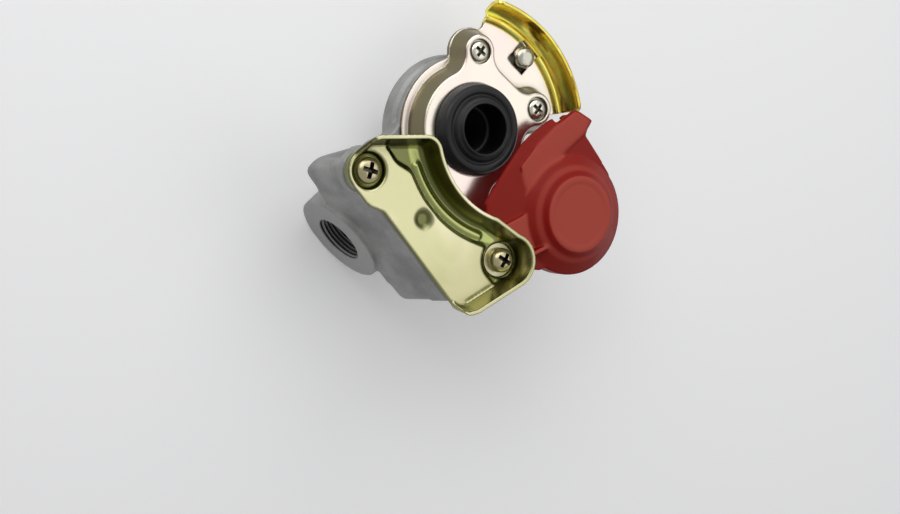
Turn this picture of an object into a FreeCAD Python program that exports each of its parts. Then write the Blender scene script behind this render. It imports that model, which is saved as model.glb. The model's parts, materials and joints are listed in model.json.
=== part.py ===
import FreeCAD
import Part

import math
import os
import re

import Sketcher

# Palm coupling of a truck's supply air line, in millimetres.
# The origin is the centre of the seal's front edge. Z is the seal's axis, out of the face.
# X points to the hose port, and the cap swings in on the Y side.

doc = FreeCAD.newDocument("palm_coupling")
sizes = doc.addObject("Spreadsheet::Sheet", "sizes")

SIZES = {
    # seal
    "seal_front_radius": 16.6,
    "seal_lip_radius": 12.1,
    "seal_bore_radius": 9.75,
    "seal_neck_radius": 18.4,
    "seal_foot_radius": 20.0,
    "seal_foot_height": 3.0,
    "seal_lip_rise": 0.8,
    "seal_crown_rise": 2.3,
    "seal_groove_depth": 0.9,
    # pressed face plate
    "plate_sheet": 1.5,
    "brim_radius": 1.2,
    "pad_drop": 5.7,
    "flange_drop": 13.6,
    "pad_radius": 23.6,
    "pan_draft": 3.3,
    "flange_radius": 29.3,
    "ear_radius": 6.7,
    "ear_one_x": -21.9,
    "ear_one_y": -22.2,
    "ear_two_x": -28.9,
    "ear_two_y": 13.0,
    "ear_fillet": 9.0,
    "guide_inner_radius": 44.2,
    "guide_crest_radius": 47.2,
    "guide_crest_rise": 1.7,
    "guide_top_radius": 51.5,
    "guide_rise": 8.7,
    "guide_start_angle": 149.0,
    "guide_sweep": 69.0,
    "guide_corner": 3.0,
    "window_width": 9.6,
    "window_length": 10.4,
    "window_turn": 7.0,
    # coding pin of the supply line
    "pin_x": -40.6,
    "pin_y": -5.0,
    "pin_radius": 4.5,
    "pin_rise": 4.2,
    "pin_shank_radius": 3.0,
    "pin_shank_length": 7.0,
    # cast body
    "seat_drop": 10.3,
    "core_radius": 21.8,
    "drum_radius": 31.0,
    "groove_drop": 17.8,
    "drum_rim_radius": 29.6,
    "drum_groove_depth": 1.3,
    "drum_wide_depth": 26.5,
    "rest_radius": 19.5,
    "port_depth": 24.0,
    "boss_radius": 19.2,
    "boss_face": 67.8,
    "neck_radius": 16.5,
    "block_face": 66.4,
    "block_top_face": 62.9,
    "block_half_width": 34.4,
    "block_floor": 15.4,
    "bridge_floor": 24.2,
    "bridge_drop": 6.6,
    "ear_room_half": 13.4,
    "claw_gap_radius": 53.6,
    "boss_lobe_radius": 8.6,
    "boss_lobe_height": 7.5,
    "post_foot_radius": 7.9,
    "post_top": 12.0,
    "ear_boss_radius": 5.6,
    "ear_boss_drop": 19.0,
    "ear_core_radius": 4.4,
    "pin_arm_drop": 23.5,
    "corner_radius": 2.5,
    "underside_radius": 2.0,
    "waist_radius": 3.0,
    "port_thread_radius": 10.19,
    "port_thread_length": 17.0,
    "air_passage_radius": 8.4,
    "seal_passage_radius": 8.7,
    "seal_passage_reach": 7.0,
    # claw plate
    "claw_sheet": 2.0,
    "claw_shelf": 17.0,
    "claw_step": 2.0,
    "claw_rim": 26.0,
    "claw_lean": 2.0,
    "claw_arc_radius": 37.5,
    "step_radius": 46.8,
    "bead_radius": 43.3,
    "bead_width": 3.6,
    "bead_height": 1.2,
    "bead_start_angle": -20.0,
    "bead_sweep": 52.0,
    "claw_back": 63.0,
    "claw_side": 35.4,
    "claw_nose_x": 31.5,
    "claw_nose_y": -20.0,
    "claw_tip_radius": 8.7,
    "claw_lobe_radius": 8.0,
    "claw_shoulder": 2.6,
    "claw_corner": 4.6,
    "claw_fold": 1.7,
    "claw_thinning": 0.5,
    "claw_end_slope": 7.0,
    "claw_dish_x": 51.5,
    "claw_dish_y": 1.5,
    "claw_dish_radius": 2.0,
    "claw_dish_slope": 2.6,
    "claw_dish_depth": 1.2,
    # screws
    "screw_one_x": 57.6,
    "screw_one_y": -27.2,
    "post_x": 35.0,
    "post_y": 37.0,
    "claw_thread_radius": 3.0,
    "claw_head_radius": 5.0,
    "claw_head_height": 4.2,
    "claw_cup_radius": 6.8,
    "claw_cup_depth": 3.0,
    "claw_screw_length": 22.0,
    "claw_washer_radius": 6.6,
    "claw_washer_height": 1.8,
    "pivot_head_radius": 4.8,
    "pivot_head_height": 5.0,
    "plate_thread_radius": 2.5,
    "plate_head_radius": 4.1,
    "plate_head_height": 2.1,
    "plate_cup_radius": 5.0,
    "plate_cup_depth": 1.7,
    "plate_screw_length": 10.0,
    # swinging cap
    "post_radius": 6.5,
    "hub_radius": 9.4,
    "hub_clearance": 0.1,
    "hub_foot": -4.8,
    "hub_top": 11.6,
    "skirt_reach": 69.8,
    "cap_reach": 46.6,
    "cap_open_angle": 161.1,
    "cap_radius": 25.0,
    "cap_top": 4.2,
    "cap_web": 1.6,
    "cap_wall": 1.8,
    "cap_skirt": 7.2,
    "cap_front_reach": 34.6,
    "dome_foot_radius": 23.2,
    "dome_shoulder_radius": 18.8,
    "dome_shoulder_rise": 5.0,
    "dome_top_radius": 15.6,
    "dome_rise": 7.8,
    "dome_wall": 1.8,
    "arm_rise": 1.6,
    "rib_offset": 6.4,
    "rib_width": 1.8,
    "rib_rise": 5.8,
    "tab_width": 13.0,
    "tab_length": 9.0,
    "friction_ring_height": 0.8,
    "fit_gap": 0.1,
    "air_gap": 0.3,
}

for row, (alias, value) in enumerate(SIZES.items(), start=1):
    sizes.set(f"A{row}", alias.replace("_", " "))
    sizes.set(f"B{row}", str(value))
    sizes.setAlias(f"B{row}", alias)
doc.recompute()


def sized(text):
    """Write a formula of size names as the sheet's own expression."""
    return re.sub(r"[a-z]\w+", lambda word: "sizes." + word.group(0), str(text))


def size(text):
    """The present value of a formula of size names."""
    return float(sizes.evalExpression(sized(text)))


def bind(thing, prop, text):
    """Tie a property to the sheet."""
    thing.setExpression(prop, sized(text))


def spot(x, y, z=0.0):
    return FreeCAD.Vector(x, y, z)


def polar(reach, degrees, z=0.0):
    angle = math.radians(degrees)
    return spot(reach * math.cos(angle), reach * math.sin(angle), z)


# Sketches and bodies

def new_body(label):
    body = doc.addObject("PartDesign::Body", label)
    body.Label = label
    return body


def new_sketch(body, name, role, lift="0"):
    """A sketch on one of the body's own origin planes, moved along its normal."""
    sketch = body.newObject("Sketcher::SketchObject", name)
    plane = [f for f in body.Origin.OriginFeatures if f.Role == role][0]
    sketch.AttachmentSupport = [(plane, "")]
    sketch.MapMode = "FlatFace"
    sketch.setExpression("AttachmentOffset.Base.z", sized(lift))
    return sketch


def pin_point(sketch, item, point, across, up):
    """Hold one point of the sketch at two named distances from its origin."""
    for kind, text in (("DistanceX", across), ("DistanceY", up)):
        index = sketch.addConstraint(Sketcher.Constraint(kind, -1, 1, item, point, size(text)))
        sketch.setExpression(f"Constraints[{index}]", sized(text))


def draw_polygon(sketch, points):
    """A closed outline of straight lines through points given as pairs of formulas."""
    corners = [spot(size(a), size(b)) for a, b in points]
    count = len(corners)
    for i in range(count):
        sketch.addGeometry(Part.LineSegment(corners[i], corners[(i + 1) % count]), False)
    for i in range(count):
        sketch.addConstraint(Sketcher.Constraint("Coincident", i, 2, (i + 1) % count, 1))
    for i, (across, up) in enumerate(points):
        pin_point(sketch, i, 1, across, up)


def draw_circle(sketch, across, up, radius):
    item = sketch.addGeometry(Part.Circle(spot(size(across), size(up)), spot(0, 0, 1), size(radius)), False)
    pin_point(sketch, item, 3, across, up)
    index = sketch.addConstraint(Sketcher.Constraint("Radius", item, size(radius)))
    sketch.setExpression(f"Constraints[{index}]", sized(radius))


def revolve(body, name, points, cut=False, role="XZ_Plane"):
    """Turn an outline of radius and height pairs about the body's Z axis."""
    sketch = new_sketch(body, name + "_outline", role)
    draw_polygon(sketch, points)
    kind = "PartDesign::Groove" if cut else "PartDesign::Revolution"
    feature = body.newObject(kind, name)
    feature.Profile = sketch
    feature.ReferenceAxis = (sketch, ["V_Axis"])
    feature.Angle = 360.0
    doc.recompute()
    return feature


def raise_pad(body, name, sketch, length, reverse=False, midplane=False):
    pad = body.newObject("PartDesign::Pad", name)
    pad.Profile = sketch
    bind(pad, "Length", length)
    pad.Reversed = reverse
    pad.Midplane = midplane
    doc.recompute()
    return pad


def sink_pocket(body, name, sketch, length, reverse=False):
    """Cut a sketch into the body, and make sure that it took something away."""
    before = body.Shape.Volume
    pocket = body.newObject("PartDesign::Pocket", name)
    pocket.Profile = sketch
    bind(pocket, "Length", length)
    pocket.Reversed = reverse
    doc.recompute()
    if body.Shape.Volume > before - 0.5:
        raise RuntimeError(name + " cuts nothing")
    return pocket


def round_edges(body, name, base, radius, chosen):
    """Round those edges of the body that the test picks."""
    names = [f"Edge{i + 1}" for i, edge in enumerate(base.Shape.Edges) if chosen(edge)]
    if not names:
        raise RuntimeError(name + " finds no edge")
    feature = body.newObject("PartDesign::Fillet", name)
    feature.Base = (base, names)
    bind(feature, "Radius", radius)
    doc.recompute()
    if "Invalid" in feature.State or feature.Shape.isNull():
        raise RuntimeError(name + " can't round its edges")
    return feature


def place(thing, x="0", y="0", z="0"):
    for axis, text in (("x", x), ("y", y), ("z", z)):
        bind(thing, "Placement.Base." + axis, text)


# Flat outlines for the two pressings and the cap

def disc(centre, radius):
    return Part.Face(Part.Wire([Part.Circle(centre, spot(0, 0, 1), radius).toShape()]))


def flat(points):
    return Part.Face(Part.makePolygon([*points, points[0]]))


def strip(start, end, width):
    """A straight band with the given full width."""
    along = end - start
    side = spot(-along.y, along.x) * (width / 2 / along.Length)
    return flat([start - side, end - side, end + side, start + side])


def joined(faces, cuts=()):
    """One flat face out of overlapping ones, less the faces to cut."""
    slab = faces[0].extrude(spot(0, 0, 1))
    slab = slab.fuse([face.extrude(spot(0, 0, 1)) for face in faces[1:]]) if faces[1:] else slab
    slab = slab.cut([face.extrude(spot(0, 0, 1)) for face in cuts]) if cuts else slab
    tops = [face for face in slab.removeSplitter().Faces if face.CenterOfMass.z > 0.999]
    if len(tops) != 1:
        raise RuntimeError(f"an outline falls into {len(tops)} faces")
    tops[0].translate(spot(0, 0, -1))
    return tops[0]


def grown(face, amount):
    """The outline moved outward, or inward where the amount is negative."""
    for step in (amount, -amount):
        moved = face.makeOffset2D(step)
        if (moved.Area > face.Area) == (amount > 0):
            return moved.Faces[0]
    raise RuntimeError("an outline can't be offset")


def soften(face, outer, inner):
    """Round an outline's outward corners and its inward ones."""
    if outer:
        face = grown(grown(face, -outer), outer)
    if inner:
        face = grown(grown(face, inner), -inner)
    return face


def raised(face, low, high):
    """A straight wall from one height to another on an outline."""
    solid = face.extrude(spot(0, 0, high - low))
    solid.translate(spot(0, 0, low))
    return solid


def drafted(face, low, high, grow):
    """A leaning wall: the outline at the low level, grown at the high one."""
    bottom = face.OuterWire.copy()
    top = grown(face, grow).OuterWire
    bottom.translate(spot(0, 0, low))
    top.translate(spot(0, 0, high))
    return Part.makeLoft([bottom, top], True, True)


def keep(label, shape):
    """A pressed or moulded piece whose shape is worked out above."""
    feature = doc.addObject("Part::Feature", label)
    feature.Label = label
    solids = shape.removeSplitter().Solids
    if len(solids) != 1:
        raise RuntimeError(f"{label} has {len(solids)} solids")
    feature.Shape = solids[0]
    feature.Placement = FreeCAD.Placement()
    return feature


def ear_points():
    return [spot(size("ear_one_x"), size("ear_one_y")),
            spot(size("ear_two_x"), size("ear_two_y"))]


def post_point():
    return spot(size("post_x"), size("post_y"))


def claw_screw_point():
    return spot(size("screw_one_x"), size("screw_one_y"))


def turned(points, start, sweep):
    """Turn a closed outline of radius and height about the Z axis, between two angles."""
    face = Part.Face(Part.Wire(points))
    face.rotate(spot(0, 0), spot(0, 0, 1), start)
    return face.revolve(spot(0, 0), spot(0, 0, 1), sweep)


def line(start, end):
    return Part.LineSegment(start, end).toShape()


def arc(start, middle, end):
    return Part.Arc(start, middle, end).toShape()


# The pressed face plate: pan, two ears, window and the guide that the mating claw grips

def pad_outline():
    """The raised flat of the plate, seen along the seal's axis."""
    one, two = ear_points()
    ears = [disc(ear, size("ear_radius")) for ear in (one, two)]
    web = flat([spot(0, 0), one, two])
    post = post_point()
    hidden_ear = [disc(post, size("hub_radius")), strip(spot(0, 0), post, 1.8 * size("hub_radius"))]
    return soften(joined([disc(spot(0, 0), size("pad_radius")), web, *ears, *hidden_ear]), 0, size("ear_fillet"))


def flange_outline():
    """The plate's low flange, with the sector that carries the guide."""
    foot = size("ear_radius + pan_draft")
    feet = [disc(ear, foot) for ear in ear_points()]
    start, sweep = size("guide_start_angle"), size("guide_sweep")
    reach = size("guide_inner_radius")
    rim = arc(polar(reach, start), polar(reach, start + sweep / 2), polar(reach, start + sweep))
    sides = [line(spot(0, 0), polar(reach, start)), line(polar(reach, start + sweep), spot(0, 0))]
    sector = Part.Face(Part.Wire([sides[0], rim, sides[1]]))
    return soften(joined([disc(spot(0, 0), size("flange_radius")), sector, *feet]), 0, size("guide_corner"))


def guide_rim():
    """The guide's crest and its hollow outer wall, with rounded upper corners."""
    low = -size("flange_drop")
    sheet = size("plate_sheet")
    inner, crest, top = size("guide_inner_radius"), size("guide_crest_radius"), size("guide_top_radius")
    rise, high = size("guide_crest_rise"), low + size("guide_rise")
    lap = spot(inner - 2, 0, low)
    foot = spot(inner + 0.6, 0, low)
    ridge = spot(crest - 0.2, 0, low + rise)
    dip = spot(crest + 1.4, 0, low + rise * 0.4)
    belly = spot(top - 0.9, 0, low + 3.4)
    under_dip = spot(crest + 1.9, 0, low + rise * 0.4 - sheet)
    under_belly = spot(top + sheet - 0.9, 0, low + 2.6)
    outline = [
        line(lap, foot),
        arc(foot, ridge, dip),
        arc(dip, belly, spot(top, 0, high)),
        line(spot(top, 0, high), spot(top + sheet, 0, high)),
        arc(spot(top + sheet, 0, high), under_belly, under_dip),
        line(under_dip, spot(crest, 0, low + rise - sheet)),
        line(spot(crest, 0, low + rise - sheet), spot(inner + 0.6, 0, low - sheet)),
        line(spot(inner + 0.6, 0, low - sheet), spot(inner - 2, 0, low - sheet)),
        line(spot(inner - 2, 0, low - sheet), lap),
    ]
    rim = turned(outline, size("guide_start_angle"), size("guide_sweep"))
    ends = [e for e in rim.Edges if abs(e.CenterOfMass.z - high) < 0.01 and e.Length < sheet + 0.1]
    return rim.makeFillet(size("guide_corner"), ends)


def face_plate():
    sheet = size("plate_sheet")
    pad, low = -size("pad_drop"), -size("flange_drop")
    draft = size("pan_draft")
    outline = pad_outline()
    shape = drafted(outline, pad, low - sheet, draft)
    brim = [e for e in shape.Edges if abs(e.BoundBox.ZMin - pad) < 0.01 and abs(e.BoundBox.ZMax - pad) < 0.01]
    shape = shape.makeFillet(size("brim_radius"), brim)
    shape = shape.fuse(raised(flange_outline(), low - sheet, low))
    shape = shape.fuse(guide_rim())
    shape = shape.cut(drafted(grown(outline, -0.8 * sheet), pad - sheet, low - sheet, draft))
    cup, depth = size("plate_cup_radius"), size("plate_cup_depth")
    for ear in ear_points():
        shape = shape.fuse(raised(disc(ear, cup + 0.8 * sheet), pad - depth - sheet, pad - sheet))
        shape = shape.cut(raised(disc(ear, cup), pad - depth, pad + 1))
        shape = shape.cut(raised(disc(ear, size("plate_thread_radius + fit_gap")), pad - 9, pad))
    shape = shape.cut(raised(disc(spot(0, 0), size("seal_neck_radius + fit_gap")), pad - 9, pad + 1))
    shape = shape.cut(raised(disc(post_point(), size("post_radius + fit_gap")), pad - 9, pad + 1))
    window = Part.makeBox(size("window_length"), size("window_width"), 6)
    window.translate(spot(-size("window_length") / 2, -size("window_width") / 2, low - 3))
    window.rotate(spot(0, 0), spot(0, 0, 1), size("window_turn"))
    window.translate(spot(size("pin_x"), size("pin_y")))
    return keep("face_plate", shape.cut(window))


# The cast body: drum, neck and port boss, claw block, cap post and screw bosses

def cast_body():
    body = new_body("cast_body")
    revolve(body, "drum", [
        ("0", "-seat_drop"),
        ("seal_foot_radius + fit_gap", "-seat_drop"),
        ("seal_foot_radius + fit_gap", "-(pad_drop + plate_sheet)"),
        ("core_radius", "-(pad_drop + plate_sheet)"),
        ("core_radius", "-(flange_drop + plate_sheet)"),
        ("drum_rim_radius", "-(flange_drop + plate_sheet)"),
        ("drum_rim_radius", "-groove_drop"),
        ("drum_rim_radius - drum_groove_depth", "-(groove_drop + 0.4)"),
        ("drum_rim_radius - drum_groove_depth", "-(groove_drop + 1.8)"),
        ("drum_radius - 0.6", "-(groove_drop + 2.6)"),
        ("drum_radius", "-drum_wide_depth"),
        ("rest_radius", "-(port_depth + boss_radius)"),
        ("0", "-(port_depth + boss_radius)"),
    ])
    wide = -size("drum_wide_depth")
    round_edges(body, "waist_rounding", body.Tip, "waist_radius",
                lambda edge: abs(edge.BoundBox.ZMin - wide) < 0.01 and abs(edge.BoundBox.ZMax - wide) < 0.01)

    bridge = new_sketch(body, "bridge_outline", "XY_Plane", "-bridge_floor")
    draw_polygon(bridge, [
        ("block_face - 12", "-(block_half_width - 6)"),
        ("block_face - 12", "block_half_width - 3"),
        ("post_x + 8", "post_y + 5"),
        ("post_x - 8", "post_y + 3"),
        ("6", "drum_rim_radius - 5"),
        ("6", "-(drum_rim_radius - 8)"),
        ("36", "-19"),
    ])
    raise_pad(body, "bridge", bridge, "bridge_floor - flange_drop - plate_sheet")
    neck = new_sketch(body, "neck_outline", "YZ_Plane")
    draw_circle(neck, "0", "-port_depth", "neck_radius")
    raise_pad(body, "neck", neck, "block_face - 8")

    block = new_sketch(body, "block_outline", "XY_Plane", "-block_floor")
    draw_polygon(block, [
        ("block_face", "-block_half_width"),
        ("block_face", "block_half_width"),
        ("block_face - 12", "block_half_width"),
        ("post_x + 10", "post_y + 1"),
        ("post_x", "post_y - 3"),
        ("20", "20"),
        ("20", "-16"),
        ("34", "-18"),
        ("41", "-26"),
        ("block_face - 8", "-block_half_width"),
    ])
    raise_pad(body, "block", block, "block_floor - bridge_drop")
    tower = new_sketch(body, "tower_outline", "XY_Plane", "-bridge_drop")
    draw_polygon(tower, [
        ("block_face", "-block_half_width"),
        ("block_face", "block_half_width"),
        ("claw_gap_radius - 10", "block_half_width"),
        ("claw_gap_radius - 7", "0"),
        ("screw_one_x - 4", "screw_one_y + 2"),
        ("block_face - 8", "-block_half_width"),
    ])
    raise_pad(body, "tower", tower, "bridge_drop + claw_shelf")
    slope = new_sketch(body, "slope_outline", "XZ_Plane")
    draw_polygon(slope, [
        ("block_face", "-block_floor"),
        ("block_face + 5", "-block_floor"),
        ("block_face + 5", "claw_shelf + 1"),
        ("block_top_face - 0.1", "claw_shelf + 1"),
        ("block_top_face", "claw_shelf"),
    ])
    lean = sink_pocket(body, "slope", slope, "4 * block_half_width")
    lean.Midplane = True
    doc.recompute()
    gap = new_sketch(body, "claw_gap_outline", "XY_Plane", "claw_shelf")
    draw_circle(gap, "0", "0", "claw_gap_radius")
    sink_pocket(body, "claw_gap", gap, "claw_shelf + bridge_drop")
    room = new_sketch(body, "hub_room_outline", "XY_Plane", "claw_shelf")
    draw_circle(room, "post_x", "post_y", "hub_radius + 2.6")
    sink_pocket(body, "hub_room", room, "claw_shelf + bridge_drop")
    round_block(body)

    clear = new_sketch(body, "plate_room_outline", "XY_Plane", "1 - bridge_drop")
    draw_circle(clear, "0", "0", "flange_radius + air_gap")
    sink_pocket(body, "plate_room", clear, "flange_drop + plate_sheet - bridge_drop + 1")
    lobe_room = new_sketch(body, "ear_room_outline", "XY_Plane", "1 - bridge_drop")
    draw_polygon(lobe_room, [
        ("post_x + ear_room_half", "post_y - ear_room_half"),
        ("post_x + ear_room_half", "post_y + ear_room_half"),
        ("post_x - ear_room_half", "post_y + ear_room_half"),
        ("-5", "22"),
        ("22", "-5"),
    ])
    sink_pocket(body, "ear_room", lobe_room, "flange_drop + plate_sheet - bridge_drop + 1")
    core = new_sketch(body, "core_outline", "XY_Plane", "-(flange_drop + plate_sheet + 1)")
    draw_circle(core, "0", "0", "core_radius")
    raise_pad(body, "core", core, "flange_drop - pad_drop + 1")
    cut_round(body, "seal_seat", "0", "0", "seal_foot_radius + fit_gap", "-(pad_drop + plate_sheet)",
              "seat_drop - pad_drop - plate_sheet")

    add_round(body, "screw_boss", "screw_one_x", "screw_one_y", "boss_lobe_radius",
              "claw_shelf - boss_lobe_height", "boss_lobe_height")
    cut_round(body, "cup_seat", "screw_one_x", "screw_one_y", "boss_lobe_radius + 0.5",
              "claw_shelf", "claw_sheet + claw_cup_depth - claw_step")
    add_round(body, "post_foot", "post_x", "post_y", "post_foot_radius", "-bridge_floor",
              "bridge_floor - pad_drop - plate_sheet")
    add_round(body, "post", "post_x", "post_y", "post_radius", "-(pad_drop + plate_sheet)",
              "pad_drop + plate_sheet + post_top")
    for name in ("ear_one", "ear_two"):
        add_round(body, name + "_boss", name + "_x", name + "_y", "ear_boss_radius", "-ear_boss_drop",
                  "ear_boss_drop - flange_drop - plate_sheet")
        add_round(body, name + "_core", name + "_x", name + "_y", "ear_core_radius",
                  "-(flange_drop + plate_sheet)", "flange_drop - pad_drop - plate_cup_depth")
    arm = new_sketch(body, "pin_arm_outline", "XY_Plane", "-pin_arm_drop")
    draw_polygon(arm, [
        ("pin_x - 5.5", "pin_y + 5.5"),
        ("pin_x - 5.5", "pin_y - 5.5"),
        ("-(core_radius - 2)", "pin_y - 7"),
        ("-(core_radius - 2)", "pin_y + 7"),
    ])
    raise_pad(body, "pin_arm", arm, "pin_arm_drop - flange_drop - plate_sheet")

    port = new_sketch(body, "port_boss_outline", "YZ_Plane", "block_face - 9")
    draw_circle(port, "0", "-port_depth", "boss_radius")
    raise_pad(body, "port_boss", port, "boss_face - block_face + 9")

    thread = new_sketch(body, "port_thread_outline", "YZ_Plane", "boss_face")
    draw_circle(thread, "0", "-port_depth", "port_thread_radius")
    sink_pocket(body, "port_thread", thread, "port_thread_length")
    air = new_sketch(body, "air_passage_outline", "YZ_Plane", "boss_face - port_thread_length")
    draw_circle(air, "0", "-port_depth", "air_passage_radius")
    sink_pocket(body, "air_passage", air, "boss_face - port_thread_length")
    cut_round(body, "seal_passage", "0", "0", "seal_passage_radius", "-seat_drop",
              "port_depth + seal_passage_reach - seat_drop")
    cut_round(body, "claw_screw_hole", "screw_one_x", "screw_one_y", "claw_thread_radius + fit_gap / 2",
              "claw_shelf", "claw_screw_length + 4")
    cut_round(body, "post_screw_hole", "post_x", "post_y", "claw_thread_radius + fit_gap / 2",
              "post_top", "claw_screw_length - 1")
    for name in ("ear_one", "ear_two"):
        cut_round(body, name + "_hole", name + "_x", name + "_y", "plate_thread_radius + fit_gap / 2",
                  "-(pad_drop + plate_cup_depth + plate_sheet)", "plate_screw_length")
    cut_round(body, "pin_hole", "pin_x", "pin_y", "pin_shank_radius + fit_gap / 2",
              "-(flange_drop + plate_sheet)", "pin_shank_length + 0.5")
    return body


def add_round(body, name, across, up, radius, lift, height):
    """A round boss standing along Z."""
    sketch = new_sketch(body, name + "_outline", "XY_Plane", lift)
    draw_circle(sketch, across, up, radius)
    return raise_pad(body, name, sketch, height)


def cut_round(body, name, across, up, radius, lift, depth):
    """A round hole sunk along Z."""
    sketch = new_sketch(body, name + "_outline", "XY_Plane", lift)
    draw_circle(sketch, across, up, radius)
    return sink_pocket(body, name, sketch, depth)


def round_block(body):
    """Soften the claw block's outer corners and its underside."""
    face, half = size("block_face"), size("block_half_width")
    floor = -size("block_floor")

    def corner(edge):
        box = edge.BoundBox
        upright = box.ZLength > 4 and box.XLength < 4 and box.YLength < 0.01
        return upright and box.XMax > face - 4 and abs(abs(box.YMin) - half) < 0.01

    def underside(edge):
        box = edge.BoundBox
        low = abs(box.ZMin - floor) < 0.01 and abs(box.ZMax - floor) < 0.01
        return low and box.XMin > face - 9

    round_edges(body, "corner_rounding", body.Tip, "corner_radius", corner)
    round_edges(body, "underside_rounding", body.Tip, "underside_radius", underside)


# The pressed claw plate: a pan with a high rim, a raised flat, a bead and two screw cups

def claw_outline():
    """The pan's foot, concentric with the seal along its hollow side."""
    post, screw = post_point(), claw_screw_point()
    back = size("claw_back")
    side = size("claw_side")
    tip = disc(post, size("claw_tip_radius"))
    lobe = disc(screw, size("claw_lobe_radius"))
    field = flat([
        spot(screw.x - 7, -side),
        spot(size("claw_nose_x") - 8, size("claw_nose_y") + 6.4),
        spot(20, 0),
        spot(size("claw_arc_radius") - 4, 13.5),
        spot(post.x - size("claw_tip_radius"), post.y),
        spot(post.x + 1.5, post.y + size("claw_tip_radius") - 0.1),
        spot(back - 4.5, post.y + 3.2),
        spot(back, post.y + 0.5),
        spot(back, screw.y + 14.0),
        spot(back + size("claw_shoulder"), screw.y + 10.0),
        spot(back + size("claw_shoulder"), screw.y),
        screw,
        spot(screw.x, -side),
    ])
    bare = joined([field, tip, lobe], [disc(spot(0, 0), size("claw_arc_radius"))])
    return soften(bare, size("claw_corner"), size("claw_corner + 1"))


def raised_field():
    """The flat that lies on the casting, one step above the shelf."""
    post, screw = post_point(), claw_screw_point()
    far = size("claw_back") + 12
    edge = post.y + 2.2
    field = flat([
        spot(size("step_radius") - 2, -16),
        spot(screw.x - 6.6, screw.y - 4),
        spot(screw.x, screw.y),
        spot(far, screw.y),
        spot(far, edge - 4),
        spot(size("claw_back") - 4, edge - 1.6),
        spot(post.x + 8, edge + 2.2),
        spot(post.x, post.y),
    ])
    lobe = disc(screw, size("claw_lobe_radius") + 3)
    return joined([field, lobe], [disc(spot(0, 0), size("step_radius")), disc(post, size("claw_cup_radius") + 3)])


def claw_bead():
    """A rounded rib on the shelf, which stiffens the claw's hollow side."""
    low, middle, half = size("claw_shelf") - 0.5, size("bead_radius"), size("bead_width") / 2
    top = size("claw_shelf + bead_height")
    shelf = size("claw_shelf")
    outline = [
        line(spot(middle - half, 0, low), spot(middle + half, 0, low)),
        line(spot(middle + half, 0, low), spot(middle + half, 0, shelf)),
        arc(spot(middle + half, 0, shelf), spot(middle, 0, top), spot(middle - half, 0, shelf)),
        line(spot(middle - half, 0, shelf), spot(middle - half, 0, low)),
    ]
    start, sweep = size("bead_start_angle"), size("bead_sweep")
    bead = turned(outline, start, sweep)
    for angle in (start, start + sweep):
        bead = bead.fuse(bead_end(polar(middle, angle, low), half, shelf - low, top - shelf))
    return bead


def bead_end(centre, half, foot, height):
    """A rounded end for the bead: half its width, on a straight foot."""
    radius = (half * half + height * height) / (2 * height)
    ball = Part.makeSphere(radius, centre + spot(0, 0, foot + height - radius))
    return ball.common(Part.makeCylinder(half, foot + height + 1, centre))


def folded(outline, low, high, lean, fold):
    """A leaning block on an outline, rounded along its foot."""
    block = drafted(outline, low, high, lean)
    foot = [e for e in block.Edges if abs(e.BoundBox.ZMin - low) < 0.01 and abs(e.BoundBox.ZMax - low) < 0.01]
    return block.makeFillet(fold, foot)


def claw_plate():
    sheet, shelf = size("claw_sheet"), size("claw_shelf")
    rim, lean, step = size("claw_rim"), size("claw_lean"), size("claw_step")
    outline = claw_outline()
    inside = grown(outline, -sheet)
    fold = size("claw_fold")
    pressing = folded(outline, shelf - sheet, rim, lean, fold + sheet)
    shape = pressing.cut(folded(inside, shelf, rim + 0.01, lean + size("claw_thinning"), fold))
    field = raised_field()
    flat_top = drafted(grown(field, 0.8 * step), shelf - 0.5, shelf + step, -0.8 * step)
    shape = shape.fuse(flat_top.common(pressing))
    shape = shape.cut(raised(grown(field, -0.6 * sheet), shelf - sheet - 1, shelf + step - sheet))
    shape = shape.fuse(claw_bead())

    screw, post = claw_screw_point(), post_point()
    top = shelf + step
    back = size("claw_back")
    end = size("block_half_width")
    open_back = flat([spot(screw.x, -2 * end, top), spot(screw.x, end - 1, top),
                      spot(screw.x, end - 1 + size("claw_end_slope"), rim + 1), spot(screw.x, -2 * end, rim + 1)])
    shape = shape.cut(open_back.extrude(spot(end, 0, 0)))
    far = back + end
    past_back = flat([spot(back, screw.y + 15), spot(far, screw.y + 15), spot(far, 2 * end), spot(back, 2 * end)])
    shape = shape.cut(raised(past_back, shelf - sheet - 1, rim + 1))
    ramp = flat([spot(screw.x - 8, -2 * end, rim + 1), spot(screw.x + 0.5, -2 * end, top),
                 spot(screw.x + 0.5, -2 * end, rim + 1)])
    shape = shape.cut(ramp.extrude(spot(0, 1.3 * end, 0)))

    cup, depth = size("claw_cup_radius"), size("claw_cup_depth")
    for point, level in ((screw, top), (post, shelf)):
        floor = level - depth
        shape = shape.fuse(raised(disc(point, cup + 0.8 * sheet), floor - sheet, level - sheet))
        shape = shape.cut(raised(disc(point, cup), floor, level + 1))
        shape = shape.cut(raised(disc(point, size("claw_thread_radius + fit_gap")), floor - sheet - 1, floor))
    dish = disc(spot(size("claw_dish_x"), size("claw_dish_y")), size("claw_dish_radius"))
    shape = shape.cut(drafted(dish, top - size("claw_dish_depth"), top + 0.01, size("claw_dish_slope")))
    return keep("claw_plate", shape)


# Turned and moulded small pieces

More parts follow.
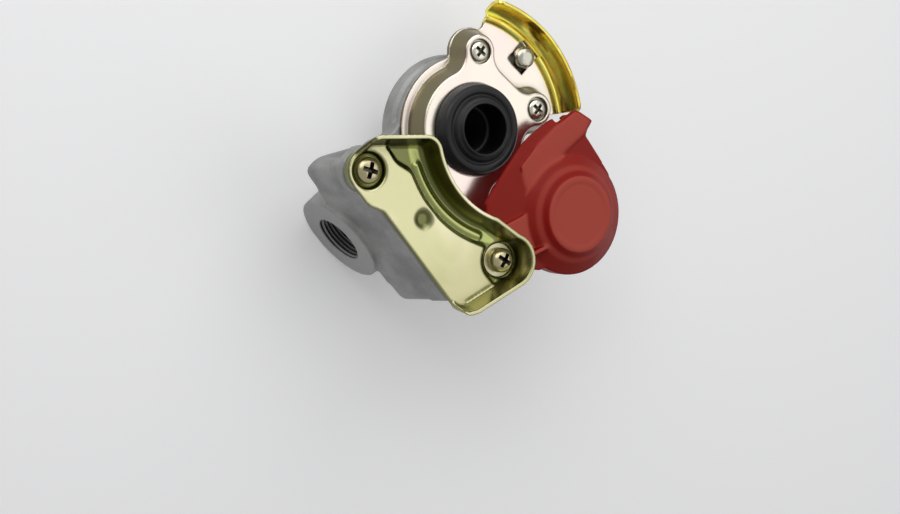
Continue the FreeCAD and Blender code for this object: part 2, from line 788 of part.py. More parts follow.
def seal_ring():
    """The rubber ring that the mating seal presses on, held by its foot under the plate."""
    body = new_body("seal_ring")
    under = "-(pad_drop + plate_sheet)"
    revolve(body, "ring", [
        ("seal_bore_radius", "-seat_drop"),
        ("seal_foot_radius", "-seat_drop"),
        ("seal_foot_radius", under),
        ("seal_neck_radius", under),
        ("seal_neck_radius", "-4.4"),
        ("seal_front_radius + 0.6", "-0.6"),
        ("seal_front_radius - 0.5", "0"),
        ("seal_lip_radius + 1.6", "-seal_groove_depth"),
        ("seal_lip_radius", "seal_lip_rise - 0.4"),
        ("seal_lip_radius - 1.2", "seal_crown_rise - 0.3"),
        ("seal_bore_radius + 0.4", "seal_crown_rise"),
        ("seal_bore_radius", "seal_crown_rise - 0.5"),
    ])
    return body


def coding_pin():
    """The domed pin that tells the supply line's coupling, pressed into the casting's arm."""
    body = new_body("coding_pin")
    rest = "-(flange_drop + plate_sheet)"
    revolve(body, "pin", [
        ("0", "-(flange_drop + plate_sheet + pin_shank_length)"),
        ("pin_shank_radius - 0.5", "-(flange_drop + plate_sheet + pin_shank_length)"),
        ("pin_shank_radius", "-(flange_drop + plate_sheet + pin_shank_length - 0.5)"),
        ("pin_shank_radius", rest),
        ("pin_radius", rest),
        ("pin_radius", "pin_rise - flange_drop - 1.8"),
        ("pin_radius - 0.5", "pin_rise - flange_drop - 0.8"),
        ("pin_radius - 1.7", "pin_rise - flange_drop - 0.2"),
        ("0", "pin_rise - flange_drop"),
    ])
    place(body, "pin_x", "pin_y")
    return body


def cross_screw(label, thread, head, height, length, across, up, seat):
    """A pan head screw with a cross recess, its head's underside at the seat."""
    body = new_body(label)
    revolve(body, "screw", [
        ("0", f"-{length}"),
        (f"{thread} - 0.6", f"-{length}"),
        (thread, f"0.6 - {length}"),
        (thread, "0"),
        (head, "0"),
        (head, f"{height} * 0.45"),
        (f"{head} * 0.9", f"{height} * 0.75"),
        (f"{head} * 0.62", f"{height} * 0.95"),
        ("0", height),
    ])
    arm, half = f"{head} * 0.6", f"{head} * 0.15"
    recess = new_sketch(body, "recess_outline", "XY_Plane", height)
    draw_polygon(recess, [
        (arm, half), (half, half), (half, arm), ("-" + half, arm),
        ("-" + half, half), ("-" + arm, half), ("-" + arm, "-" + half), ("-" + half, "-" + half),
        ("-" + half, "-" + arm), (half, "-" + arm), (half, "-" + half), (arm, "-" + half),
    ])
    sink_pocket(body, "recess", recess, f"{height} * 0.55")
    place(body, across, up, seat)
    return body


def ring(label, inner, outer, height, across, up, level):
    """A flat ring, such as a washer."""
    body = new_body(label)
    revolve(body, "ring", [(inner, "0"), (outer, "0"), (outer, height), (inner, height)])
    place(body, across, up, level)
    return body


# The swinging cap, moulded in one piece and drawn in its open place

def cap_centre():
    return post_point() + polar(size("cap_reach"), size("cap_open_angle"))


def cap_outline():
    """The cap's edge: a disc round the dome, a straight front, a thumb tab and the hub's arm."""
    post, middle = post_point(), cap_centre()
    front = middle.y - size("cap_front_reach")
    field = flat([
        spot(middle.x - size("cap_radius") + 0.8, middle.y - 2),
        spot(middle.x - size("cap_radius") + 0.2, middle.y - 20),
        spot(middle.x - 18, front + 2),
        spot(middle.x - 2, front - 0.2),
        spot(middle.x + 18, front + 1),
        spot(middle.x + 33, front + 8),
        spot(post.x + 2, post.y - 7),
        post,
        spot(middle.x + 26, middle.y + 8),
        middle,
    ])
    left, low = middle.x - size("cap_radius"), middle.y - 31
    tab = flat([spot(left + 7, low - 1.2), spot(left - 1.5, low + 0.2),
                spot(left - size("tab_length"), low + 9), spot(left + 1, low + 11.5), spot(left + 12, low + 12)])
    discs = [disc(middle, size("cap_radius")), disc(post, size("hub_radius"))]
    return soften(joined([field, tab, *discs]), 1.6, 3.0)


def dome(middle):
    """The hollow cone over the seal, with a shallow dish on its top."""
    top, foot = size("cap_top"), size("dome_foot_radius")
    shoulder, high = size("dome_shoulder_radius"), top + size("dome_shoulder_rise")
    crown, peak = size("dome_top_radius"), top + size("dome_rise")
    wall, web = size("dome_wall"), size("cap_web")
    outside = [
        spot(0, 0, top - web), spot(foot, 0, top - web), spot(foot, 0, top), spot(shoulder, 0, high),
        spot(crown, 0, peak), spot(crown - 2.2, 0, peak), spot(crown - 2.8, 0, peak - 0.4), spot(0, 0, peak - 0.4),
    ]
    inside = [
        spot(0, 0, top - web - 1), spot(foot - wall, 0, top - web - 1), spot(foot - wall, 0, top - web + 0.2),
        spot(shoulder - wall, 0, high - wall + 0.6), spot(crown - wall, 0, peak - wall), spot(0, 0, peak - wall),
    ]
    solids = []
    for points in (outside, inside):
        edges = [line(a, b) for a, b in zip(points, points[1:] + points[:1])]
        solid = Part.Face(Part.Wire(edges)).revolve(spot(0, 0), spot(0, 0, 1), 360)
        solid.translate(middle)
        solids.append(solid)
    return solids


def swinging_cap():
    post, middle = post_point(), cap_centre()
    top, web, wall = size("cap_top"), size("cap_web"), size("cap_wall")
    outline = cap_outline()
    outer_dome, inner_dome = dome(middle)
    away = middle - post
    along = spot(away.x, away.y).normalize()
    side = spot(-along.y, along.x)
    front = flat([post - along * 50, post + along * 95, post + along * 95 + side * 60,
                  post - along * 50 + side * 60])
    open_front = raised(front, -10, 40).common(raised(disc(post, size("skirt_reach")), -10, 40))

    skirt = raised(outline, top - size("cap_skirt"), top - web)
    skirt = skirt.cut(raised(grown(outline, -wall), -10, top - web)).cut(open_front)
    arm = drafted(strip(post, middle, 2 * size("hub_radius") - 1), top - web, top + size("arm_rise"), -0.8)
    shift = side * -size("rib_offset")
    rib = raised(strip(post + shift, middle + shift - along * 12, size("rib_width")),
                 top - web, top + size("rib_rise"))
    shape = raised(outline, top - web, top).fuse([skirt, outer_dome, arm, rib])
    shape = shape.cut(inner_dome)
    hub_foot, hub_top = size("hub_foot"), size("hub_top")
    shape = shape.fuse(raised(disc(post, size("hub_radius")), hub_foot, hub_top))
    shape = shape.cut(raised(disc(post, size("post_radius + hub_clearance")), hub_foot - 1, hub_top + 1))
    return keep("swinging_cap", shape)


def build():
    cast_body()
    face_plate()
    seal_ring()
    coding_pin()
    for name in ("one", "two"):
        cross_screw("plate_screw_" + name, "plate_thread_radius", "plate_head_radius", "plate_head_height",
                    "plate_screw_length", f"ear_{name}_x", f"ear_{name}_y", "-(pad_drop + plate_cup_depth)")
    claw_plate()
    cross_screw("claw_screw", "claw_thread_radius", "claw_head_radius", "claw_head_height",
                "claw_screw_length", "screw_one_x", "screw_one_y", "claw_shelf + claw_step - claw_cup_depth")
    cross_screw("pivot_screw", "claw_thread_radius", "pivot_head_radius", "pivot_head_height",
                "claw_screw_length", "post_x", "post_y", "claw_shelf - claw_cup_depth + claw_washer_height")
    ring("pivot_washer", "claw_thread_radius + fit_gap", "claw_washer_radius", "claw_washer_height",
         "post_x", "post_y", "claw_shelf - claw_cup_depth")
    ring("friction_ring", "post_radius + fit_gap", "hub_radius", "friction_ring_height",
         "post_x", "post_y", "-pad_drop")
    swinging_cap()


def check_and_write():
    doc.recompute()
    failed = [thing.Name for thing in doc.Objects if {"Invalid", "Error"} & set(thing.State)]
    if failed:
        raise RuntimeError("failed: " + ", ".join(failed))
    os.makedirs("parts", exist_ok=True)
    for thing in doc.Objects:
        if thing.TypeId in ("PartDesign::Body", "Part::Feature") and thing.getParentGeoFeatureGroup() is None:
            shape = thing.Shape
            if shape.isNull() or not shape.isValid() or not shape.Solids:
                raise RuntimeError(thing.Label + " has no sound shape")
            shape.exportStep(f"parts/{thing.Label}.step")


build()
check_and_write()
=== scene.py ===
import json
import math

import bpy
from mathutils import Matrix, Vector

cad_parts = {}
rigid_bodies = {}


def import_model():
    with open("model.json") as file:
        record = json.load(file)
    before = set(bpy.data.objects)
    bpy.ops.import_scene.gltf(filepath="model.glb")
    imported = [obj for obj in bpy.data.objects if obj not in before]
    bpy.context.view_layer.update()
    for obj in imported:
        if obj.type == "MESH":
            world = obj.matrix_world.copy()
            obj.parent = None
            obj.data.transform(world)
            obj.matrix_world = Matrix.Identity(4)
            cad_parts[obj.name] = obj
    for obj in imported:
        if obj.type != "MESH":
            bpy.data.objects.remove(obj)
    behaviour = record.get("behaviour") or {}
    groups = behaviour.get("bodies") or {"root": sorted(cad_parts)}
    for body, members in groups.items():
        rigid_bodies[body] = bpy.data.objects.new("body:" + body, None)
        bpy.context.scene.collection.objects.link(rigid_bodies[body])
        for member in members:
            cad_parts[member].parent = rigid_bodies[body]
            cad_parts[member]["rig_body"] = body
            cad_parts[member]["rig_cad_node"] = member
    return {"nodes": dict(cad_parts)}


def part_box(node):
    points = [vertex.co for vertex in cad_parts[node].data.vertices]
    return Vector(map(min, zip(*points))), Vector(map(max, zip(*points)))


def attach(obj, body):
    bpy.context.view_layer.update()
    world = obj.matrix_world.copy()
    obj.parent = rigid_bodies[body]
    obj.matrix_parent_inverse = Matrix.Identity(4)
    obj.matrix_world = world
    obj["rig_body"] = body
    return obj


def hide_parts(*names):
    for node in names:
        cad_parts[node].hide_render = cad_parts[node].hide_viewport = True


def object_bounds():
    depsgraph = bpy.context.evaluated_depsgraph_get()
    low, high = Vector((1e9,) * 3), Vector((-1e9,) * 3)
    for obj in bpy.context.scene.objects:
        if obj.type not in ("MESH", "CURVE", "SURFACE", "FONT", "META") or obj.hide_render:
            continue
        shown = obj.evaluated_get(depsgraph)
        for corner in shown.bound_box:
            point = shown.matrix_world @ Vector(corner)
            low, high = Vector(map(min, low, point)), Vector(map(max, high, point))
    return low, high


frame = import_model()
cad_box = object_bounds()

bl_info = {
    "name": "Palm Coupling",
    "version": (1, 0, 0),
    "blender": (4, 5, 0),
    "location": "View3D > Sidebar > Coupling",
    "description": "Dresses the palm coupling of a truck's supply air line on its packed frame",
    "category": "Object",
}

# Lengths in this file are written in millimetres and times MM.
MM = 0.001

BASE = "base"
CAP = "cap"

# The image that the camera was fitted to, and the camera's place and axes in the frame.
IMAGE_WIDTH = 900
SENSOR_WIDTH = 36.0
FOCAL_PIXELS = 1500.3
CAMERA_PLACE = Vector((258.3, -199.2, 498.8)) * MM
CAMERA_RIGHT = Vector((-0.652, 0.544, 0.528))
CAMERA_TOWARD = Vector((0.364, -0.387, 0.847))

# The open cap's middle, and the outlines and levels of the moulding that only the scene has: the
# strap along the near edge, the thin lip before it and the straight web beside the tab.
CAP_MIDDLE = (-9.088, 52.095)
CAP_STRAP = [(-38.6, 20.6), (-42.6, 30.2), (-35.4, 31.0), (-21.5, 30.2), (-11.0, 28.6), (2.0, 29.5),
             (-2.0, 21.0), (-12.0, 19.6), (-26.0, 19.0)]
CAP_LIP = [(-27.2, 16.6), (-23.4, 15.6), (-14.0, 14.7), (-8.1, 14.9), (-2.1, 16.2), (5.4, 17.7),
           (14.0, 19.8), (20.0, 21.5), (22.0, 25.5), (8.9, 21.0), (-11.0, 19.5), (-27.5, 21.5)]
CAP_SIDE = [(-35.4, 26.0), (-35.4, 36.0), (-35.1, 44.0), (-34.5, 52.5), (-25.0, 52.5), (-22.0, 40.0),
            (-20.0, 26.0)]
CAP_MOULDING = ((CAP_STRAP, 2.7, 5.0), (CAP_LIP, 2.7, 3.9), (CAP_SIDE, 2.8, 4.15))

# The cap's dome: its foot's radius and level, the crown's radius, and how the slope and the crown
# are widened and flattened.
DOME_RADIUS = 23.4
DOME_FOOT = 4.2
CROWN_RADIUS = 16.5
SLOPE_FACTORS = (1.06, 0.69)
CROWN_FACTORS = (0.975, 0.87)

# Voxel sizes of the skins that the casting, the claw plate and the cap get.
CASTING_VOXEL = 0.7
CLAW_VOXEL = 0.4
CAP_VOXEL = 0.45

# The wall round the claw screw's hole: inner and outer radius, bottom and top.
SCREW_WALL_RADII = (3.1, 4.8)
SCREW_WALL_LEVELS = (-9.0, 9.6)

# The radius round the seal's axis inside which the casting's machined seat keeps its edges, and
# the radius round the port's axis inside which the port's face does.
SEAT_RADIUS = 23.0
PORT_FACE_RADIUS = 14.0

# Where the casting's passages get painted shade, nearly black: their radii and the seal passage's floor.
PORT_PASSAGE_RADIUS = 10.25
SEAL_PASSAGE_RADIUS = 10.0
SEAL_PASSAGE_FLOOR = -40

# The guide's film starts between these radii. The claw's bead, which gets a painted highlight, runs at one
# radius, and its dish, which gets painted shade, has a middle.
GUIDE_START = (43.8, 45.0)
BEAD_RADIUS = 43.0
DISH_MIDDLE = (51.5, 1.5)

# The seal's lips from the foot's shoulder inwards, as radius and height pairs.
SEAL_BORE_RADIUS = 9.75
SEAL_FOOT_HEIGHT = 3.1
SEAL_LIPS = [(18.4, -4.4), (17.6, -1.2), (16.6, -0.2), (15.2, 0.1), (14.3, -0.3), (13.9, -0.9), (13.3, -0.9),
             (12.8, -0.2), (12.2, 0.7), (11.4, 1.1), (10.9, 1.8), (10.3, 2.3), (9.75, 1.8)]

# Each screw's node, head height, thread radius, turn of its recess in degrees, and plating.
SCREWS = (
    ("plate_screw_one", 2.1, 2.5, 12.0, "pale_screw"),
    ("plate_screw_two", 2.1, 2.5, 12.0, "pale_screw"),
    ("claw_screw", 4.2, 3.0, 35.0, "golden_screw"),
    ("pivot_screw", 5.0, 3.0, 20.0, "golden_screw"),
)
SCREW_PITCH = 0.8

# Thin films of the two platings, as linear light, with painted shade for their walls, the bands along the
# guide, the painted shade of the claw's low shelf, the darker colour toward its tip, the painted shade in its
# dish, and plating that is rubbed at an edge.
PALE_FILM_AND_SHADE = {
    "Flat_Colour": (0.94, 0.86, 0.81, 1), "Wall_Colour": (0.2, 0.18, 0.115, 1),
    "Tint_One": (1.0, 0.86, 0.84, 1), "Tint_Two": (0.92, 0.94, 0.82, 1), "Tint_Strength": 0.6,
}
YELLOW_FILM_AND_SHADE = {
    "Flat_Colour": (0.96, 0.92, 0.68, 1), "Wall_Colour": (0.11, 0.105, 0.03, 1),
    "Tint_One": (0.98, 0.94, 0.9, 1), "Tint_Two": (0.62, 0.63, 0.46, 1), "Tint_Strength": 0.85,
}
GUIDE_BANDS = ((0.09, 0.045, 0.01, 1), (0.86, 0.64, 0.11, 1), (0.92, 0.92, 0.22, 1))
SHELF_SHADE = (0.17, 0.185, 0.065)
TIP_COLOUR = (0.42, 0.41, 0.2, 1)
DISH_SHADE = (0.16, 0.11, 0.06, 1)
RUBBED_PLATING = (0.9, 0.88, 0.8, 1)

# Each lamp's direction from the part's middle, and its distance and width in metres.
KEY_LAMP = (Vector((-0.55, -0.55, 0.63)), 0.9, 0.8)
PANEL_LAMP = (Vector((-0.38, 0.34, 0.82)), 0.8, 0.62)
SIDE_LAMP = (Vector((0.05, -0.85, 0.5)), 0.9, 0.5)
FLOOR_WIDTH = 8.0


# Choosing and finishing

def clear_choice():
    """Leave edit mode and deselect everything."""
    if bpy.context.object and bpy.context.object.mode != "OBJECT":
        bpy.ops.object.mode_set(mode="OBJECT")
    bpy.ops.object.select_all(action="DESELECT")


def pick(piece):
    clear_choice()
    piece.select_set(True)
    bpy.context.view_layer.objects.active = piece


def apply_modifiers(piece):
    pick(piece)
    for modifier in list(piece.modifiers):
        bpy.ops.object.modifier_apply(modifier=modifier.name)


def settle(piece, place):
    """Move a piece to its place, and keep that place in its mesh."""
    pick(piece)
    piece.location = place
    bpy.ops.object.transform_apply(location=True, rotation=True, scale=True)


def join_into(piece, parts):
    clear_choice()
    for part in (*parts, piece):
        part.select_set(True)
    bpy.context.view_layer.objects.active = piece
    bpy.ops.object.join()


def smooth(piece, degrees=32.0):
    """Smooth the shading over the gentle edges, and keep the flats flat."""
    pick(piece)
    bpy.ops.object.shade_smooth_by_angle(angle=math.radians(degrees))
    weighted = piece.modifiers.new("flats", "WEIGHTED_NORMAL")
    weighted.keep_sharp = True
    weighted.weight = 50
    apply_modifiers(piece)


def finish_piece(piece, name, body, node, material):
    """Name a piece, dress it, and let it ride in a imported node's place."""
    piece.name = name
    piece.data.name = name
    if material not in piece.data.materials[:]:
        piece.data.materials.clear()
        piece.data.materials.append(material)
    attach(piece, body)
    if node:
        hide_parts(node)


def weld(gap):
    """Merge the vertices of the piece in edit mode that lie within a gap in millimetres."""
    bpy.ops.mesh.select_all(action="SELECT")
    bpy.ops.mesh.remove_doubles(threshold=gap * MM)


def face_outwards():
    """Turn all the faces of the closed piece in edit mode outwards, and leave edit mode."""
    bpy.ops.mesh.select_all(action="SELECT")
    bpy.ops.mesh.normals_make_consistent(inside=False)
    bpy.ops.object.mode_set(mode="OBJECT")


def welded_copy(node):
    """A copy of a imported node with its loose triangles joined."""
    pick(frame["nodes"][node])
    bpy.ops.object.duplicate(linked=False)
    piece = bpy.context.object
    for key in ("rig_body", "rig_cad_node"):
        del piece[key]
    bpy.ops.mesh.customdata_custom_splitnormals_clear()
    bpy.ops.object.mode_set(mode="EDIT")
    weld(0.002)
    bpy.ops.object.mode_set(mode="OBJECT")
    return piece


def node_centre(node):
    low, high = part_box(node)
    return (low + high) / 2


def trace(points, closed):
    """Draw a line of vertices through points in millimetres, and stay in edit mode."""
    clear_choice()
    bpy.ops.mesh.primitive_plane_add(size=MM, location=(0, 0, 0))
    piece = bpy.context.object
    bpy.ops.object.mode_set(mode="EDIT")
    bpy.ops.mesh.select_all(action="SELECT")
    bpy.ops.mesh.merge(type="CENTER")
    bpy.ops.transform.translate(value=[length * MM for length in points[0]])
    stops = points + (points[:1] if closed else [])
    for here, there in zip(stops, stops[1:]):
        move = [(after - before) * MM for before, after in zip(here, there)]
        bpy.ops.mesh.extrude_region_move(TRANSFORM_OT_translate={"value": move})
    weld(0.001)
    return piece


def turned(profile, place, steps=72, rounding=0.0, closed=False):
    """Spin an outline of radius and height pairs in millimetres about an upright axis."""
    piece = trace([(radius, 0, height) for radius, height in profile], closed)
    if rounding:
        bpy.ops.mesh.select_all(action="SELECT")
        bpy.ops.mesh.bevel(offset=rounding * MM, segments=4, affect="VERTICES", clamp_overlap=True)
    bpy.ops.mesh.select_all(action="SELECT")
    bpy.ops.mesh.spin(steps=steps, angle=2 * math.pi, center=(0, 0, 0), axis=(0, 0, 1))
    weld(0.003)
    face_outwards()
    settle(piece, place)
    return piece


def prism(outline, low, high):
    """Raise a closed outline of points in millimetres from one level to another."""
    piece = trace([(x, y, low) for x, y in outline], closed=True)
    bpy.ops.mesh.select_all(action="SELECT")
    bpy.ops.mesh.edge_face_add()
    bpy.ops.mesh.extrude_region_move(TRANSFORM_OT_translate={"value": (0, 0, (high - low) * MM)})
    face_outwards()
    return piece


def relax(piece, repeats, chosen):
    """Smooth the vertices that the test picks, as a press or a mould rounds its corners."""
    pick(piece)
    bpy.ops.object.mode_set(mode="EDIT")
    bpy.ops.mesh.select_mode(type="VERT")
    bpy.ops.mesh.select_all(action="DESELECT")
    bpy.ops.object.mode_set(mode="OBJECT")
    for vertex in piece.data.vertices:
        vertex.select = chosen(vertex.co / MM)
    bpy.ops.object.mode_set(mode="EDIT")
    bpy.ops.mesh.vertices_smooth(factor=0.5, repeat=repeats)
    bpy.ops.object.mode_set(mode="OBJECT")


def reskin(piece, voxel):
    """Cover a piece, and all that is joined to it, with one even skin."""
    pick(piece)
    piece.data.remesh_voxel_size = voxel * MM
    piece.data.remesh_voxel_adaptivity = 0.0
    bpy.ops.object.voxel_remesh()


# Shader building

def new_group(name, inputs, outputs):
    """An empty shader node group with float or colour sockets."""
    group = bpy.data.node_groups.new(name, "ShaderNodeTree")
    for label, kind, value in inputs:
        socket = group.interface.new_socket(label, in_out="INPUT", socket_type="NodeSocket" + kind)
        socket.default_value = value
    for label, kind in outputs:
        group.interface.new_socket(label, in_out="OUTPUT", socket_type="NodeSocket" + kind)
    enter = group.nodes.new("NodeGroupInput")
    leave = group.nodes.new("NodeGroupOutput")
    return group, enter, leave


def add_node(tree, kind, **values):
    """A node with its properties set and its named inputs filled or linked."""
    node = tree.nodes.new("ShaderNode" + kind)
    for key, value in values.items():
        if hasattr(node, key):
            setattr(node, key, value)
            continue
        socket = node.inputs[key.replace("_", " ")]
        if isinstance(value, bpy.types.NodeSocket):
            tree.links.new(value, socket)
        else:
            socket.default_value = value
    return node


def calculate(tree, operation, first, second=0.0, third=0.0, clamp=False):
    """One step of arithmetic on values or sockets."""
    node = tree.nodes.new("ShaderNodeMath")
    node.operation = operation
    node.use_clamp = clamp
    for socket, value in zip(node.inputs, (first, second, third)):
        if isinstance(value, bpy.types.NodeSocket):
            tree.links.new(value, socket)
        else:
            socket.default_value = value
    return node.outputs[0]


def blend_colours(tree, factor, first, second, mode="MIX"):
    """Mix two colours, each given as a value or a socket."""
    node = tree.nodes.new("ShaderNodeMix")
    node.data_type = "RGBA"
    node.blend_type = mode
    for index, value in ((0, factor), (6, first), (7, second)):
        if isinstance(value, bpy.types.NodeSocket):
            tree.links.new(value, node.inputs[index])
        else:
            node.inputs[index].default_value = value
    return node.outputs[2]


def step_between(tree, value, low, high):
    """A soft step from 0 to 1 as the value goes from low to high."""
    node = tree.nodes.new("ShaderNodeMapRange")
    node.interpolation_type = "SMOOTHSTEP"
    tree.links.new(value, node.inputs["Value"])
    node.inputs["From Min"].default_value = low
    node.inputs["From Max"].default_value = high
    return node.outputs["Result"]


def remainder(tree, value):
    """What a value lacks of 1."""
    return calculate(tree, "SUBTRACT", 1.0, value)


def hypotenuse(tree, first, second):
    squares = calculate(tree, "MULTIPLY_ADD", first, first, calculate(tree, "MULTIPLY", second, second))
    return calculate(tree, "SQRT", squares)


def object_place(tree):
    """A point's X, Y and Z on its piece, in metres."""
    return add_node(tree, "SeparateXYZ", Vector=add_node(tree, "TexCoord").outputs["Object"]).outputs


def reach_from(tree, place, middle):
    """How far a point lies from an upright axis, whose own place is in millimetres."""
    across = calculate(tree, "SUBTRACT", place["X"], middle[0] * MM)
    along = calculate(tree, "SUBTRACT", place["Y"], middle[1] * MM)
    return hypotenuse(tree, across, along)


def seal_axis_reach(tree):
    """How far a point lies from the seal's axis, and its place, in metres."""
    place = object_place(tree)
    return hypotenuse(tree, place["X"], place["Y"]), place


def opaque(colour, factor=1.0):
    return (*(min(1.0, channel * factor) for channel in colour[:3]), 1.0)


def grey(level):
    return (level, level, level, 1.0)


def grain_group():
    """Fine uneven texture: height for a bump, and a matching shade."""
    group, enter, leave = new_group(
        "grain",
        [("Scale", "Float", 900.0), ("Blotch Scale", "Float", 60.0)],
        [("Height", "Float"), ("Shade", "Float"), ("Blotch", "Float")])
    place = add_node(group, "TexCoord").outputs["Object"]
    fine = add_node(group, "TexNoise", Vector=place, Scale=enter.outputs["Scale"], Detail=4.0, Roughness=0.6)
    broad = add_node(group, "TexNoise", Vector=place, Scale=enter.outputs["Blotch Scale"], Detail=3.0)
    group.links.new(fine.outputs["Fac"], leave.inputs["Height"])
    shade = calculate(group, "MULTIPLY_ADD", fine.outputs["Fac"], 0.3,
                      calculate(group, "MULTIPLY", broad.outputs["Fac"], 0.7))
    group.links.new(shade, leave.inputs["Shade"])
    group.links.new(step_between(group, broad.outputs["Fac"], 0.35, 0.65), leave.inputs["Blotch"])
    return group


def edge_group():
    """A mask of the sharp edges, broken up as wear is, and a normal that rounds them."""
    group, enter, leave = new_group(
        "edge_wear",
        [("Wear Radius", "Float", 0.4 * MM), ("Round Radius", "Float", 0.6 * MM), ("Breakup", "Float", 400.0)],
        [("Mask", "Float"), ("Normal", "Vector")])
    rubbed = add_node(group, "Bevel", samples=4, Radius=enter.outputs["Wear Radius"])
    rounded = add_node(group, "Bevel", samples=6, Radius=enter.outputs["Round Radius"])
    flat = add_node(group, "NewGeometry")
    likeness = add_node(group, "VectorMath", operation="DOT_PRODUCT")
    group.links.new(rubbed.outputs["Normal"], likeness.inputs[0])
    group.links.new(flat.outputs["Normal"], likeness.inputs[1])
    edge = remainder(group, likeness.outputs["Value"])
    place = add_node(group, "TexCoord").outputs["Object"]
    noise = add_node(group, "TexNoise", Vector=place, Scale=enter.outputs["Breakup"], Detail=3.0)
    worn = calculate(group, "MULTIPLY", step_between(group, edge, 0.02, 0.16),
                     step_between(group, noise.outputs["Fac"], 0.35, 0.6))
    group.links.new(worn, leave.inputs["Mask"])
    group.links.new(rounded.outputs["Normal"], leave.inputs["Normal"])
    return group


def crevice_shade_group():
    """A mask of the hollows and feet of walls, for painted shade."""
    group, enter, leave = new_group("crevice_shade", [("Distance", "Float", 8 * MM)], [("Mask", "Float")])
    open_sky = add_node(group, "AmbientOcclusion", samples=8, only_local=True,
                        Distance=enter.outputs["Distance"])
    hidden = remainder(group, open_sky.outputs["AO"])
    group.links.new(step_between(group, hidden, 0.08, 0.62), leave.inputs["Mask"])
    return group


def passivation_and_shade_group():
    """Colour of plated steel: flats, painted shade on steep walls and in hollows, and drifting tints."""
    group, enter, leave = new_group(
        "passivation_and_shade",
        [("Crevice Shade", "Float", 0.0), ("Flat Colour", "Color", (0.8, 0.8, 0.7, 1)),
         ("Wall Colour", "Color", (0.4, 0.35, 0.1, 1)), ("Tint One", "Color", (0.9, 0.75, 0.7, 1)),
         ("Tint Two", "Color", (0.6, 0.75, 0.35, 1)), ("Tint Strength", "Float", 0.4)],
        [("Color", "Color")])
    coordinates = add_node(group, "TexCoord")
    normal = add_node(group, "SeparateXYZ", Vector=coordinates.outputs["Normal"])
    level = step_between(group, calculate(group, "ABSOLUTE", normal.outputs["Z"]), 0.55, 0.99)
    steep = remainder(group, level)
    # Painted shade: steep faces and hollows get the darker wall colour.
    wall = calculate(group, "MAXIMUM", steep, enter.outputs["Crevice Shade"])
    drift = add_node(group, "TexNoise", Vector=coordinates.outputs["Object"], Scale=28.0, Detail=2.0,
                     Distortion=0.6)
    tints = blend_colours(group, step_between(group, drift.outputs["Fac"], 0.35, 0.65),
                          enter.outputs["Tint One"], enter.outputs["Tint Two"])
    base = blend_colours(group, wall, enter.outputs["Flat Colour"], enter.outputs["Wall Colour"])
    tinted = blend_colours(group, enter.outputs["Tint Strength"], base, tints, "MULTIPLY")
    group.links.new(tinted, leave.inputs["Color"])
    return group


def new_material(name, roughness, metallic=0.0, **constants):
    """A material with one Principled shader and its constant sockets set."""
    material = bpy.data.materials.new(name)
    material.use_nodes = True
    tree = material.node_tree
    shader = tree.nodes["Principled BSDF"]
    shader.inputs["Roughness"].default_value = roughness
    shader.inputs["Metallic"].default_value = metallic
    for key, value in constants.items():
        shader.inputs[key.replace("_", " ")].default_value = value
    return material, tree, shader


def place_group(tree, group, **values):
    node = tree.nodes.new("ShaderNodeGroup")
    node.node_tree = group
    for key, value in values.items():
        node.inputs[key.replace("_", " ")].default_value = value
    return node


def bumped(tree, height, normal, distance, strength=1.0):
    """A bump over a rounded normal, its greatest height in millimetres."""
    bump = tree.nodes.new("ShaderNodeBump")
    bump.inputs["Distance"].default_value = distance * MM
    bump.inputs["Strength"].default_value = strength
    tree.links.new(height, bump.inputs["Height"])
    if normal is not None:
        tree.links.new(normal, bump.inputs["Normal"])
    return bump.outputs["Normal"]


GROUPS = {}


def shared(name):
    makers = {"grain": grain_group, "edge": edge_group, "crevice_shade": crevice_shade_group,
              "passivation_and_shade": passivation_and_shade_group}
    if name not in GROUPS:
        GROUPS[name] = makers[name]()
    return GROUPS[name]


